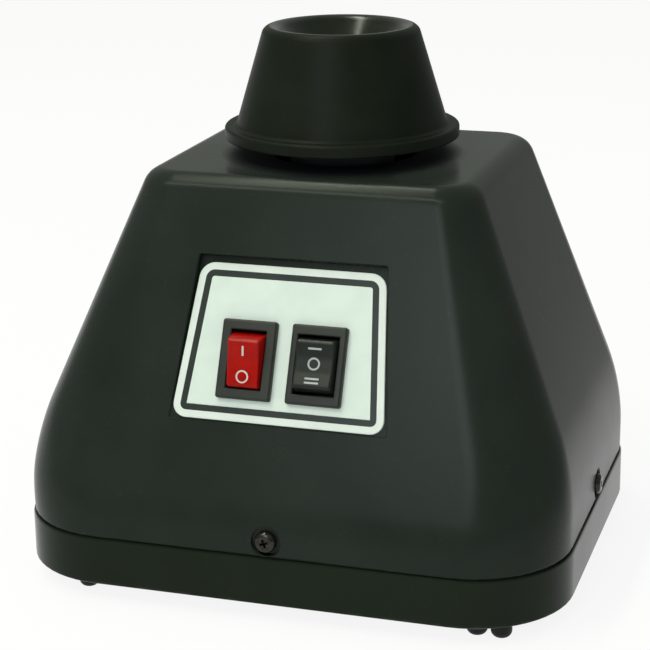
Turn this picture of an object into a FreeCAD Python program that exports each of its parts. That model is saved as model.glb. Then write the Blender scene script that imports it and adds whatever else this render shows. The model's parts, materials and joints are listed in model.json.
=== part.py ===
import FreeCAD, Part
import math
import os
import re

import Sketcher
from FreeCAD import Placement, Rotation, Vector

# Vortex mixer. Millimetres, +Z up, front towards -Y.
# The origin is on the bench, under the middle of the tray.

# Driving dimensions: lengths in millimetres, angles in degrees.
SIZES = {
    # tray and feet
    "body_width": 151.0,
    "body_depth": 127.0,
    "skirt_corner_radius": 27.0,
    "tray_height": 13.2,
    "tray_overhang": 0.5,
    "tray_wall": 3.0,
    "tray_floor": 3.0,
    "tray_edge_radius": 0.6,
    "lip_height": 3.0,
    "lip_thickness": 1.5,
    "lip_clearance": 0.4,
    "foot_height": 4.9,
    "foot_radius": 2.8,
    "foot_flat_radius": 1.0,
    "foot_stem_radius": 2.0,
    "foot_head_radius": 2.3,
    "foot_head_height": 2.5,
    "foot_inset_side": 21.1,
    "foot_inset_end": 8.8,
    "foot_pair_gap": 0.8,
    # housing
    "housing_height": 92.8,
    "housing_wall": 3.0,
    "top_width": 91.8,
    "top_depth": 79.4,
    "top_setback": 10.2,
    "top_corner_radius": 10.3,
    "top_edge_radius": 6.0,
    "side_knee_height": 19.9,
    "side_knee_radius": 60.0,
    "front_knee_height": 6.8,
    "front_knee_radius": 40.0,
    "back_knee_height": 3.0,
    "back_knee_radius": 40.0,
    # screws round the skirt
    "side_screw_height": 4.4,
    "screw_head_radius": 2.9,
    "screw_head_height": 2.4,
    "screw_head_edge": 1.3,
    "screw_shank_radius": 1.6,
    "screw_grip": 6.5,
    "screw_recess_radius": 4.0,
    "screw_recess_depth": 1.2,
    "screw_hole_clearance": 0.3,
    "screw_block_width": 12.0,
    "screw_block_depth": 7.5,
    "screw_block_rise": 6.6,
    "screw_block_gap": 0.9,
    "cross_slot_length": 3.4,
    "cross_slot_width": 0.9,
    "cross_slot_depth": 1.2,
    # label
    "label_rise": 51.7,
    "label_height": 41.6,
    "label_bottom_width": 58.4,
    "label_top_width": 51.0,
    "label_thickness": 0.8,
    "label_corner_radius": 4.0,
    "label_extra_lean": 2.5,
    "recess_lip": 0.4,
    "recess_side_gap": 0.6,
    "recess_top_gap": 1.9,
    "recess_foot_gap": 0.3,
    "recess_corner_radius": 0.6,
    "recess_backing": 2.5,
    "recess_reach": 12.0,
    # switches
    "switch_spacing": 19.2,
    "switch_drop": 4.5,
    "bezel_width": 15.0,
    "bezel_height": 21.0,
    "bezel_thickness": 1.8,
    "bezel_edge_radius": 0.7,
    "switch_body_width": 13.0,
    "switch_body_height": 19.0,
    "switch_body_depth": 14.0,
    "switch_floor": 3.0,
    "cutout_clearance": 0.15,
    "power_opening_width": 9.7,
    "speed_opening_width": 11.3,
    "rocker_length": 14.2,
    "rocker_end_gap": 0.7,
    "rocker_side_clearance": 0.15,
    "rocker_pivot_depth": 3.0,
    "rocker_tip_height": 5.6,
    "rocker_tip_inset": 0.9,
    "rocker_shoulder": 2.0,
    "rocker_skirt": 2.4,
    "rocker_edge_radius": 0.6,
    "power_rocker_angle": 15.0,
    "power_face_angle": 4.0,
    "speed_rocker_angle": 11.0,
    "trunnion_radius": 1.2,
    "trunnion_clearance": 0.05,
    "trunnion_length": 0.7,
    "tab_width": 4.8,
    "tab_thickness": 0.8,
    "tab_length": 7.0,
    "tab_pitch": 6.0,
    # cord inlet and terminal block
    "grommet_inset": 30.5,
    "grommet_rise": 13.5,
    "grommet_radius": 5.0,
    "grommet_flange_radius": 6.5,
    "grommet_flange": 1.4,
    "grommet_bore_radius": 3.4,
    "block_width": 14.0,
    "block_length": 30.0,
    "block_height": 11.0,
    "block_inset": 14.5,
    "block_setback": 24.0,
    "block_screw_radius": 2.0,
    "block_screw_pitch": 9.0,
    "block_screw_depth": 5.0,
    # ballast, isolators and motor plate
    "ballast_gap": 2.0,
    "ballast_thickness": 8.0,
    "ballast_corner_radius": 6.0,
    "isolator_radius": 6.5,
    "isolator_height": 12.0,
    "isolator_pitch": 60.0,
    "mount_screw_radius": 2.0,
    "mount_head_radius": 3.5,
    "mount_head_height": 2.2,
    "mount_thread": 4.5,
    "mount_hole_clearance": 0.2,
    "plate_width": 76.0,
    "plate_thickness": 2.5,
    "plate_corner_radius": 8.0,
    "plate_hole_radius": 13.0,
    # motor
    "motor_setback": 10.0,
    "motor_radius": 28.0,
    "bell_depth": 11.0,
    "bell_wall": 2.5,
    "bell_end": 3.0,
    "bell_vent_radius": 3.6,
    "bell_vent_circle": 16.5,
    "bush_boss_radius": 9.0,
    "bush_radius": 6.0,
    "bush_length": 8.0,
    "bush_clearance": 0.04,
    "shaft_radius": 3.0,
    "shaft_tail": 1.0,
    "stator_height": 20.0,
    "stator_yoke": 5.0,
    "pole_width": 12.0,
    "rotor_inset": 13.0,
    "air_gap": 0.4,
    "spacer_radius": 5.0,
    "spacer_play": 0.1,
    "coil_thickness": 4.5,
    "coil_depth": 3.2,
    "coil_overhang": 4.5,
    "coil_clearance": 0.3,
    "tie_bolt_radius": 1.6,
    "tie_bolt_inset": 8.5,
    "tie_head_radius": 3.0,
    "tie_head_height": 1.8,
    "tie_nut_radius": 3.2,
    "tie_nut_height": 2.4,
    "fan_radius": 16.0,
    "fan_height": 7.0,
    "fan_disc": 1.5,
    "fan_hub_radius": 6.0,
    "fan_gap": 1.5,
    "fan_blades": 8,
    "blade_thickness": 1.2,
    # crank and restraint
    "crank_throw": 2.0,
    "crank_gap": 5.0,
    "crank_radius": 8.0,
    "crank_height": 12.0,
    "crank_grip": 9.0,
    "counterweight_radius": 17.0,
    "counterweight_thickness": 6.0,
    "pin_radius": 4.0,
    "pin_shoulder_radius": 5.2,
    "pin_end_gap": 0.5,
    "set_screw_radius": 1.5,
    "set_screw_length": 4.5,
    "set_screw_drop": 3.0,
    "restraint_gap": 2.0,
    "restraint_length": 62.0,
    "restraint_width": 26.0,
    "restraint_thickness": 3.0,
    "restraint_crank_gap": 1.5,
    "standoff_radius": 3.2,
    "standoff_circle": 23.2,
    "standoff_screw_radius": 1.5,
    "peg_radius": 1.5,
    "peg_circle": 14.5,
    "peg_clearance": 0.25,
    # bearing and head
    "bearing_width": 7.0,
    "bearing_radius": 11.0,
    "bearing_ring": 1.8,
    "ball_radius": 1.95,
    "ball_clearance": 0.03,
    "ball_count": 7,
    "cage_thickness": 1.2,
    "cage_width": 5.2,
    "cage_pocket_gap": 0.1,
    "circlip_thickness": 1.2,
    "circlip_width": 2.0,
    "circlip_bite": 0.7,
    "hub_roof": 4.0,
    "hub_lip": 2.3,
    "hub_barrel_radius": 14.5,
    "hub_flange_radius": 17.0,
    "hub_boss_radius": 11.0,
    "hub_boss_height": 7.5,
    "hub_relief_depth": 1.5,
    "neck_clearance": 1.5,
    "cup_gap": 4.9,
    "cup_height": 30.8,
    "cup_flange_radius": 32.7,
    "cup_flange_thickness": 3.4,
    "cup_flange_edge": 0.6,
    "cup_base_radius": 29.5,
    "cup_top_radius": 22.0,
    "cup_rim_round": 2.2,
    "bowl_radius": 17.6,
    "bowl_depth": 17.0,
    "bowl_tip_radius": 3.6,
    "bowl_lip_round": 3.4,
    "bowl_tip_round": 7.2,
}

# Heights, places and angles that follow from the driving dimensions.
LEVELS = {
    "tray_inside_z": "foot_height + tray_floor",
    "seam_z": "foot_height + tray_height",
    "top_z": "seam_z + housing_height",
    "screw_z": "seam_z + side_screw_height",
    "lip_width": "body_width - 2 * housing_wall - 2 * lip_clearance",
    "lip_depth": "body_depth - 2 * housing_wall - 2 * lip_clearance",
    "lip_corner_radius": "skirt_corner_radius - housing_wall - lip_clearance",
    "foot_x": "body_width / 2 - foot_inset_side",
    "foot_y": "body_depth / 2 - foot_inset_end",
    "front_knee_z": "seam_z + front_knee_height",
    "front_crest": "top_depth / 2 - top_setback",
    "front_lean": "atan((body_depth / 2 - front_crest) / (top_z - front_knee_z))",
    "back_knee_z": "seam_z + back_knee_height",
    "back_crest": "top_depth / 2 + top_setback",
    "back_lean": "atan((body_depth / 2 - back_crest) / (top_z - back_knee_z))",
    "cord_x": "grommet_inset - body_width / 2",
    "cord_z": "seam_z + grommet_rise",
    "cord_y": "body_depth / 2 - (cord_z - back_knee_z) * tan(back_lean)",
    "tray_width": "body_width + 2 * tray_overhang",
    "tray_depth": "body_depth + 2 * tray_overhang",
    "tray_corner_radius": "skirt_corner_radius + tray_overhang",
    "label_lean": "front_lean + label_extra_lean",
    "label_z": "seam_z + label_rise",
    "recess_half": "label_height / 2 + recess_foot_gap",
    "recess_foot_z": "label_z - recess_half * cos(label_lean)",
    "recess_foot_y": "(recess_foot_z - front_knee_z) * tan(front_lean) - body_depth / 2",
    "label_y": "recess_foot_y + recess_lip / cos(front_lean) + recess_half * sin(label_lean)",
    "bezel_front": "label_thickness + bezel_thickness",
    "pivot_level": "bezel_front - rocker_pivot_depth",
    "ballast_width": "body_width - 2 * (block_inset + block_width + ballast_gap)",
    "screw_block_face": "lip_depth / 2 - screw_block_gap - screw_block_depth",
    "ballast_depth": "2 * (screw_block_face - ballast_gap - motor_setback)",
    "ballast_top_z": "tray_inside_z + ballast_thickness",
    "plate_z": "ballast_top_z + isolator_height",
    "lower_bell_z": "plate_z + plate_thickness",
    "stator_z": "lower_bell_z + bell_depth",
    "upper_bell_z": "stator_z + stator_height",
    "motor_top_z": "upper_bell_z + bell_depth",
    "stator_inner_radius": "motor_radius - stator_yoke",
    "rotor_radius": "motor_radius - rotor_inset",
    "tie_bolt_circle": "motor_radius - tie_bolt_inset",
    "pole_face_radius": "rotor_radius + air_gap",
    "bush_bore_radius": "shaft_radius + bush_clearance",
    "spacer_length": "bell_depth - bell_end - (bush_length - bell_end) - spacer_play",
    "fan_top_z": "plate_z - fan_gap",
    "fan_z": "fan_top_z - fan_height",
    "shaft_z": "fan_z - shaft_tail",
    "crank_z": "motor_top_z + crank_gap",
    "crank_top_z": "crank_z + crank_height",
    "shaft_top_z": "crank_z + crank_grip",
    "restraint_z": "crank_z + counterweight_thickness + restraint_gap",
    "restraint_hole_radius": "peg_radius + crank_throw + peg_clearance",
    "cup_y": "motor_setback - crank_throw",
    "cup_z": "top_z + cup_gap",
    "bearing_z": "cup_z - hub_roof - bearing_width",
    "bearing_mid_z": "bearing_z + bearing_width / 2",
    "circlip_z": "bearing_z - circlip_thickness",
    "hub_z": "circlip_z - hub_lip",
    "ball_circle": "(pin_radius + bearing_radius) / 2",
    "race_radius": "ball_radius + ball_clearance",
    "neck_hole_radius": "hub_flange_radius + crank_throw + neck_clearance",
    "bowl_slope": "atan(bowl_depth / (bowl_radius - bowl_tip_radius))",
    "bowl_lip_tangent": "bowl_lip_round * tan(bowl_slope / 2)",
    "bowl_tip_tangent": "bowl_tip_round * tan(bowl_slope / 2)",
    "bowl_floor": "cup_height - bowl_depth",
}

# Small angle and length used only to tell edges apart.
SAME = 1e-4

doc = FreeCAD.newDocument("VortexMixer")

sheet = doc.addObject("Spreadsheet::Sheet", "Sizes")
owners = {}
for row, (alias, value) in enumerate(SIZES.items(), start=1):
    sheet.set("A%d" % row, alias)
    sheet.set("B%d" % row, str(value))
    sheet.setAlias("B%d" % row, alias)
    owners[alias] = "Sizes"
doc.recompute()


def ex(text):
    # Expression text with each size named by the object that holds it.
    def full_name(match):
        word = match.group()
        return owners[word] + "." + word if word in owners else word

    return re.sub(r"[a-z_][a-z_0-9]*", full_name, text)


levels = doc.addObject("App::VarSet", "Levels")
for name, text in LEVELS.items():
    levels.addProperty("App::PropertyFloat", name)
    levels.setExpression(name, ex(text))
    owners[name] = "Levels"
doc.recompute()

pieces = []


def num(text):
    return float(levels.evalExpression(ex(text)))


def keep(item, label):
    item.Label = label
    pieces.append(item)
    return item


def move(item, x="0", y="0", z="0", axis=None, angle="0"):
    if axis:
        item.Placement = Placement(Vector(), Rotation(Vector(*axis), num(angle)))
        item.setExpression(".Placement.Rotation.Angle", ex(angle))
    for key, text in (("x", x), ("y", y), ("z", z)):
        item.setExpression(".Placement.Base." + key, ex(text))
    return item


def on_panel(item, x="0", y="0", z="0", swing="0"):
    # Panel frame: X across, Y up the label, Z out of the front face.
    move(
        item,
        x,
        "label_y + (%s) * sin(label_lean) - (%s) * cos(label_lean)" % (y, z),
        "label_z + (%s) * cos(label_lean) + (%s) * sin(label_lean)" % (y, z),
        axis=(1, 0, 0),
        angle="90 - label_lean + (%s)" % swing,
    )
    return item


def on_back(item, out):
    # Square to the leaning back wall at the cord inlet, some way out from its face.
    y = "cord_y + (%s) * cos(back_lean)" % out
    z = "cord_z + (%s) * sin(back_lean)" % out
    return move(item, "cord_x", y, z, axis=(1, 0, 0), angle="back_lean - 90")


def body(name):
    return doc.addObject("PartDesign::Body", name)


def sketch(owner, role, lift="0"):
    plane = next(f for f in owner.Origin.OriginFeatures if f.Role == role)
    drawing = owner.newObject("Sketcher::SketchObject", owner.Name + "_sketch")
    drawing.AttachmentSupport = [(plane, "")]
    drawing.MapMode = "FlatFace"
    drawing.setExpression(".AttachmentOffset.Base.z", ex(lift))
    return drawing


def dimension(drawing, constraint, text):
    number = drawing.addConstraint(constraint)
    drawing.setExpression("Constraints[%d]" % number, ex(text))


def pin(drawing, index, corner, x, y):
    for kind, axis, text in (("DistanceX", -2, x), ("DistanceY", -1, y)):
        if text == "0":
            drawing.addConstraint(Sketcher.Constraint("PointOnObject", index, corner, axis))
        else:
            dimension(drawing, Sketcher.Constraint(kind, -1, 1, index, corner, num(text)), text)


def circle(drawing, radius, x="0", y="0"):
    centre = Vector(num(x), num(y), 0)
    index = drawing.addGeometry(Part.Circle(centre, Vector(0, 0, 1), num(radius)))
    pin(drawing, index, 3, x, y)
    dimension(drawing, Sketcher.Constraint("Radius", index, num(radius)), radius)
    return drawing


def bow(start, end, radius, side):
    # Middle point of the smaller arc from start to end, bulging to the right (1) or left (-1).
    half = (end - start) * 0.5
    drop = math.sqrt(max(radius ** 2 - half.Length ** 2, 0))
    right = Vector(half.y, -half.x, 0).normalize() * side
    return start + half + right * (radius - drop)


def outline(drawing, corners):
    # Closed outline. A corner with two more values starts an arc: its radius and its side.
    points = [Vector(num(c[0]), num(c[1]), 0) for c in corners]
    starts = []
    ends = []
    for number, corner in enumerate(corners):
        start = points[number]
        end = points[(number + 1) % len(points)]
        if len(corner) == 2:
            index = drawing.addGeometry(Part.LineSegment(start, end))
        else:
            middle = bow(start, end, num(corner[2]), corner[3])
            index = drawing.addGeometry(Part.Arc(start, middle, end))
        forward = drawing.getPoint(index, 1).isEqual(start, SAME)
        starts.append((index, 1 if forward else 2))
        ends.append((index, 2 if forward else 1))
    for number, corner in enumerate(corners):
        index, first = starts[number]
        drawing.addConstraint(Sketcher.Constraint("Coincident", *ends[number - 1], index, first))
        pin(drawing, index, first, corner[0], corner[1])
        if len(corner) > 2:
            size = Sketcher.Constraint("Radius", index, num(corner[2]))
            dimension(drawing, size, corner[2])
    return drawing


def rectangle(drawing, width, height, x="0", y="0"):
    left = "(%s) - (%s) / 2" % (x, width)
    right = "(%s) + (%s) / 2" % (x, width)
    low = "(%s) - (%s) / 2" % (y, height)
    high = "(%s) + (%s) / 2" % (y, height)
    return outline(drawing, [(left, low), (right, low), (right, high), (left, high)])


def round_rectangle(drawing, width, height, radius, y="0"):
    right = "(%s) / 2" % width
    left = "-" + right
    low = "(%s) - (%s) / 2" % (y, height)
    high = "(%s) + (%s) / 2" % (y, height)
    return outline(
        drawing,
        [
            (left + " + " + radius, low),
            (right + " - " + radius, low, radius, 1),
            (right, low + " + " + radius),
            (right, high + " - " + radius, radius, 1),
            (right + " - " + radius, high),
            (left + " + " + radius, high, radius, 1),
            (left, high + " - " + radius),
            (left, low + " + " + radius, radius, 1),
        ],
    )


def pad(owner, drawing, length, both=False):
    feature = owner.newObject("PartDesign::Pad", owner.Name + "_pad")
    feature.Profile = drawing
    feature.setExpression("Length", ex(length))
    if both:
        feature.SideType = "Symmetric"
    return feature


def pocket(owner, drawing, length=None, reverse=False, both=False):
    feature = owner.newObject("PartDesign::Pocket", owner.Name + "_pocket")
    feature.Profile = drawing
    feature.Reversed = reverse
    if both:
        feature.SideType = "Symmetric"
    if length:
        feature.setExpression("Length", ex(length))
    else:
        feature.Type = "ThroughAll"
    return feature


def polar(owner, feature, count):
    pattern = owner.newObject("PartDesign::PolarPattern", owner.Name + "_ring")
    pattern.Originals = [feature]
    pattern.Axis = (next(f for f in owner.Origin.OriginFeatures if f.Role == "Z_Axis"), [""])
    pattern.Angle = 360
    pattern.setExpression("Occurrences", ex(count))
    owner.Tip = pattern
    return pattern


def fillet(owner, feature, radius, choose):
    doc.recompute()
    edges = feature.Shape.Edges
    names = ["Edge%d" % (n + 1) for n, edge in enumerate(edges) if choose(edge.BoundBox)]
    rounding = owner.newObject("PartDesign::Fillet", owner.Name + "_fillet")
    rounding.Base = (feature, names)
    rounding.setExpression("Radius", ex(radius))
    return rounding


def upright(edge):
    return edge.ZLength > max(edge.XLength, edge.YLength)


def at_height(level):
    return lambda edge: max(abs(edge.ZMin - level), abs(edge.ZMax - level)) < SAME


def turned(name, corners):
    # Solid of revolution about its own Z axis: corners are radius and height.
    owner = body(name)
    spin = owner.newObject("PartDesign::Revolution", name + "_turn")
    spin.Profile = outline(sketch(owner, "XZ_Plane"), corners)
    spin.ReferenceAxis = (spin.Profile[0], ["V_Axis"])
    spin.Angle = 360
    owner.Tip = spin
    return owner


def sleeve(name, inner, outer, length):
    return turned(name, [(inner, "0"), (outer, "0"), (outer, length), (inner, length)])


def cylinder(name, radius, height):
    item = doc.addObject("Part::Cylinder", name)
    item.setExpression("Radius", ex(radius))
    item.setExpression("Height", ex(height))
    return item


def block(name, width, depth, height):
    # Box that stands on its own XY plane with its middle at the origin.
    owner = body(name)
    pad(owner, rectangle(sketch(owner, "XY_Plane"), width, depth), height)
    return owner


def cut(base, tools, name):
    result = doc.addObject("Part::Cut", name)
    result.Base = base
    if len(tools) == 1:
        result.Tool = tools[0]
    else:
        result.Tool = doc.addObject("Part::Compound", name + "_tools")
        result.Tool.Links = tools
    return result


def fuse(shapes, name):
    result = doc.addObject("Part::MultiFuse", name)
    result.Shapes = shapes
    return result


def copy(master, **place):
    link = doc.addObject("App::Link", master.Name + "_copy")
    link.LinkedObject = master
    return move(link, **place)


def group(items, label):
    result = doc.addObject("Part::Compound", label)
    result.Links = items
    return keep(result, label)


def pan_screw(name, head_radius, head_height, head_edge, shank_radius, shank_length):
    # Cross-recess screw along Z: the head's seat is at z = 0 and the shank goes down.
    round_off = "%s - %s" % (head_radius, head_edge)
    plain = turned(
        name + "_blank",
        [
            ("0", "-(%s)" % shank_length),
            (shank_radius, "-(%s)" % shank_length),
            (shank_radius, "0"),
            (head_radius, "0"),
            (head_radius, "%s - %s" % (head_height, head_edge), head_edge, 1),
            (round_off, head_height),
            ("0", head_height),
        ],
    )
    slots = []
    for width, depth in (("cross_slot_length", "cross_slot_width"),
                         ("cross_slot_width", "cross_slot_length")):
        slot = block(name + "_slot", width, depth, "cross_slot_depth")
        slots.append(move(slot, z="%s - cross_slot_depth" % head_height))
    return cut(plain, [fuse(slots, name + "_cross")], name)


# Tray

tray = body("base_tray")
pad(
    tray,
    round_rectangle(sketch(tray, "XY_Plane", "foot_height"), "tray_width", "tray_depth",
                    "tray_corner_radius"),
    "tray_height",
)
pocket(
    tray,
    round_rectangle(
        sketch(tray, "XY_Plane", "seam_z"),
        "(tray_width - 2 * tray_wall)",
        "(tray_depth - 2 * tray_wall)",
        "(tray_corner_radius - tray_wall)",
    ),
    "tray_height - tray_floor",
)
lip = sketch(tray, "XY_Plane", "tray_inside_z")
round_rectangle(lip, "lip_width", "lip_depth", "lip_corner_radius")
round_rectangle(
    lip,
    "(lip_width - 2 * lip_thickness)",
    "(lip_depth - 2 * lip_thickness)",
    "(lip_corner_radius - lip_thickness)",
)
pad(tray, lip, "seam_z + lip_height - tray_inside_z")
blocks = sketch(tray, "XY_Plane", "tray_inside_z")
for sign in ("-", ""):
    rectangle(blocks, "screw_block_width", "screw_block_depth", "0",
              sign + "((lip_depth - screw_block_depth) / 2 - screw_block_gap)")
    rectangle(blocks, "screw_block_depth", "screw_block_width",
              sign + "((lip_width - screw_block_depth) / 2 - screw_block_gap)", "0")
pad(tray, blocks, "seam_z + screw_block_rise - tray_inside_z")
pocket(tray, circle(sketch(tray, "XZ_Plane"), "screw_shank_radius", "0", "screw_z"), both=True)
pocket(tray, circle(sketch(tray, "YZ_Plane"), "screw_shank_radius", "0", "screw_z"), both=True)

foot_places = [
    ("-foot_x", "-foot_y"),
    ("foot_x", "-foot_y"),
    ("foot_x", "foot_y"),
    ("-foot_x", "foot_y"),
]
isolator_places = [
    ("%s * isolator_pitch / 2" % i, "motor_setback + %s * isolator_pitch / 2" % j)
    for i, j in ((-1, -1), (1, -1), (1, 1), (-1, 1))
]
floor_holes = sketch(tray, "XY_Plane", "foot_height")
for x, y in foot_places:
    circle(floor_holes, "foot_stem_radius", x, y)
for x, y in isolator_places:
    circle(floor_holes, "mount_screw_radius + mount_hole_clearance", x, y)
holed = pocket(tray, floor_holes, "tray_floor", reverse=True)
underside = at_height(num("foot_height"))
widest_hole = 2 * max(num("foot_radius"), num("mount_head_radius"))
fillet(tray, holed, "tray_edge_radius", lambda edge: underside(edge) and edge.DiagonalLength > 2 * widest_hole)
keep(tray, "base_tray")

foot_bumper = [
    ("0", "0"),
    ("foot_flat_radius", "0", "foot_radius - foot_flat_radius", 1),
    ("foot_radius", "foot_radius - foot_flat_radius"),
    ("foot_radius", "foot_height"),
]
foot = turned(
    "foot",
    foot_bumper
    + [
        ("foot_stem_radius", "foot_height"),
        ("foot_stem_radius", "tray_inside_z"),
        ("foot_head_radius", "tray_inside_z"),
        ("foot_stem_radius", "tray_inside_z + foot_head_height"),
        ("0", "tray_inside_z + foot_head_height"),
    ],
)
# The fifth foot is a plain bumper stuck on beside the right front one, with no stem.
stuck_foot = turned("stuck_foot", foot_bumper + [("0", "foot_height")])
stuck_x = "foot_x + 2 * foot_radius + foot_pair_gap"
feet = [copy(foot, x=x, y=y) for x, y in foot_places]
group(feet + [copy(stuck_foot, x=stuck_x, y="-foot_y")], "rubber_feet")

# Housing

seam_z = num("seam_z")
top_z = num("top_z")
wall = num("housing_wall")
top_edge = num("top_edge_radius")


def wall_profile(skirt, crest, knee_height, bend):
    # Distance of a wall from the middle plane as a function of height, and its turning heights.
    knee_z = seam_z + knee_height
    lean = math.atan2(skirt - crest, top_z - knee_z)
    tangent = bend * math.tan(lean / 2)
    shoulder = top_edge * math.tan(math.pi / 4 - lean / 2)
    bend_low = knee_z - tangent
    bend_high = knee_z + tangent * math.cos(lean)
    round_low = top_z - top_edge + top_edge * math.sin(lean)

    def distance(z):
        if z <= bend_low:
            return skirt
        if z < bend_high:
            return skirt - bend + math.sqrt(bend ** 2 - (z - bend_low) ** 2)
        if z <= round_low:
            return skirt - (z - knee_z) * math.tan(lean)
        return crest - shoulder + math.sqrt(max(top_edge ** 2 - (z - top_z + top_edge) ** 2, 0))

    return distance, lean, (bend_low, bend_high)


half_width = num("body_width / 2")
half_depth = num("body_depth / 2")
side_wall, side_lean, side_bend = wall_profile(
    half_width, num("top_width / 2"), num("side_knee_height"), num("side_knee_radius"))
front_wall, front_lean, front_bend = wall_profile(
    half_depth, num("front_crest"), num("front_knee_height"), num("front_knee_radius"))
back_wall, back_lean, back_bend = wall_profile(
    half_depth, num("back_crest"), num("back_knee_height"), num("back_knee_radius"))


def corner_radius(z):
    share = (z - seam_z) / (top_z - seam_z)
    straight = num("skirt_corner_radius") * (1 - share) + num("top_corner_radius") * share
    drawn_in = num("top_width / 2") + (top_z - z) * math.tan(side_lean) - side_wall(z)
    return straight - max(drawn_in, 0) if z > top_z - top_edge else straight


def section(z, inset, level):
    # Rounded rectangle of the housing at height z, drawn at the given level.
    half = side_wall(z) - inset
    low = inset - front_wall(z)
    high = back_wall(z) - inset
    radius = max(corner_radius(z) - inset, SAME + inset / 3)
    bevel = radius * (1 - math.sqrt(0.5))
    edges = []
    corners = ((half, low, 1, -1), (half, high, 1, 1), (-half, high, -1, 1), (-half, low, -1, -1))
    ends = []
    for x, y, sx, sy in corners:
        along = Vector(x - sx * radius, y, level)
        middle = Vector(x - sx * bevel, y - sy * bevel, level)
        up = Vector(x, y - sy * radius, level)
        first, last = (along, up) if sx * sy < 0 else (up, along)
        ends.append((first, middle, last))
    for number, (first, middle, last) in enumerate(ends):
        edges.append(Part.Arc(first, middle, last).toShape())
        edges.append(Part.LineSegment(last, ends[(number + 1) % 4][0]).toShape())
    return Part.Wire(edges)


round_steps = 5
straight_steps = 4
heights = {seam_z}
for low, high in (side_bend, front_bend, back_bend):
    heights.update(z for z in (low, (low + high) / 2, high) if z > seam_z)
round_start = top_z - top_edge
slope_start = max(heights)
heights.update(slope_start + (round_start - slope_start) * n / straight_steps
               for n in range(1, straight_steps + 1))
heights.update(round_start + top_edge * math.sin(math.pi / 2 * n / round_steps)
               for n in range(1, round_steps + 1))
near = num("housing_height") / 50
outer_heights = []
for z in sorted(heights):
    if not outer_heights or z - outer_heights[-1] > near or z > round_start:
        outer_heights.append(z)
ceiling_z = top_z - wall
inner_heights = [z for z in outer_heights if z < ceiling_z - near / 4] + [ceiling_z]

housing_outside = doc.addObject("Part::Feature", "housing_outside")
housing_outside.Shape = Part.makeLoft([section(z, 0, z) for z in outer_heights], True, False)
housing_inside = doc.addObject("Part::Feature", "housing_inside")
housing_inside.Shape = Part.makeLoft(
    [section(seam_z, wall, seam_z - wall)] + [section(z, wall, z) for z in inner_heights], True, False)


def trapezoid(name, corner, low, high, side="0", top="0", foot="0"):
    # Label-shaped plate in the panel frame, larger by a gap at its sides, top and foot.
    owner = body(name)
    slope = "(label_bottom_width - label_top_width) / (2 * label_height)"
    half_low = "label_bottom_width / 2 + (%s) + (%s) * %s" % (side, foot, slope)
    half_high = "label_top_width / 2 + (%s) - (%s) * %s" % (side, top, slope)
    low_edge = "-label_height / 2 - (%s)" % foot
    high_edge = "label_height / 2 + (%s)" % top
    drawing = sketch(owner, "XY_Plane", low)
    outline(
        drawing,
        [
            ("-(%s)" % half_low, low_edge),
            (half_low, low_edge),
            (half_high, high_edge),
            ("-(%s)" % half_high, high_edge),
        ],
    )
    plate = pad(owner, drawing, "(%s) - (%s)" % (high, low))
    fillet(owner, plate, corner, upright)
    return owner


recess = on_panel(trapezoid("recess_space", "recess_corner_radius", "0", "recess_reach",
                            "recess_side_gap", "recess_top_gap", "recess_foot_gap"))
backing = on_panel(trapezoid("recess_back", "recess_corner_radius + recess_backing", "-recess_backing",
                             "recess_reach", "recess_side_gap + recess_backing",
                             "recess_top_gap + recess_backing", "recess_foot_gap + recess_backing"))
cavity = cut(housing_inside, [backing], "housing_cavity")
shell = cut(housing_outside, [cavity], "housing_shell")

switch_sides = {"power": "-switch_spacing / 2", "speed": "switch_spacing / 2"}
tools = [recess]
for x in switch_sides.values():
    opening = block("switch_cutout", "switch_body_width + 2 * cutout_clearance",
                    "switch_body_height + 2 * cutout_clearance", "recess_reach + recess_reach")
    tools.append(on_panel(opening, x, "-switch_drop", "-recess_reach"))

# Each side screw's place: its own outward direction, from the middle of that side.
screw_sides = {
    "front": ("0", "-body_depth / 2", "0", "-1", (1, 0, 0), "90"),
    "back": ("0", "body_depth / 2", "0", "1", (1, 0, 0), "-90"),
    "right": ("body_width / 2", "0", "1", "0", (0, 1, 0), "90"),
    "left": ("-body_width / 2", "0", "-1", "0", (0, 1, 0), "-90"),
}
screw = pan_screw("skirt_screw", "screw_head_radius", "screw_head_height", "screw_head_edge",
                  "screw_shank_radius",
                  "housing_wall - screw_recess_depth + lip_clearance + screw_block_gap + screw_grip")
screws = []
for x, y, out_x, out_y, axis, angle in screw_sides.values():
    seat = dict(x="%s - %s * screw_recess_depth" % (x, out_x),
                y="%s - %s * screw_recess_depth" % (y, out_y), z="screw_z", axis=axis, angle=angle)
    screws.append(copy(screw, **seat))
    sink = cylinder("screw_sink", "screw_recess_radius", "screw_recess_radius")
    tools.append(move(sink, **seat))
    hole = cylinder("screw_hole", "screw_shank_radius + screw_hole_clearance", "2 * housing_wall")
    inward = dict(seat, x="%s - %s * 2 * housing_wall" % (x, out_x),
                  y="%s - %s * 2 * housing_wall" % (y, out_y))
    tools.append(move(hole, **inward))
tools.append(move(cylinder("neck_hole", "neck_hole_radius", "3 * housing_wall"),
                  y="motor_setback", z="top_z - 2 * housing_wall"))
tools.append(on_back(cylinder("cord_hole", "grommet_radius", "3 * housing_wall"), "-2 * housing_wall"))
keep(cut(shell, tools, "upper_housing"), "upper_housing")
group(screws, "housing_screws")

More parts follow.
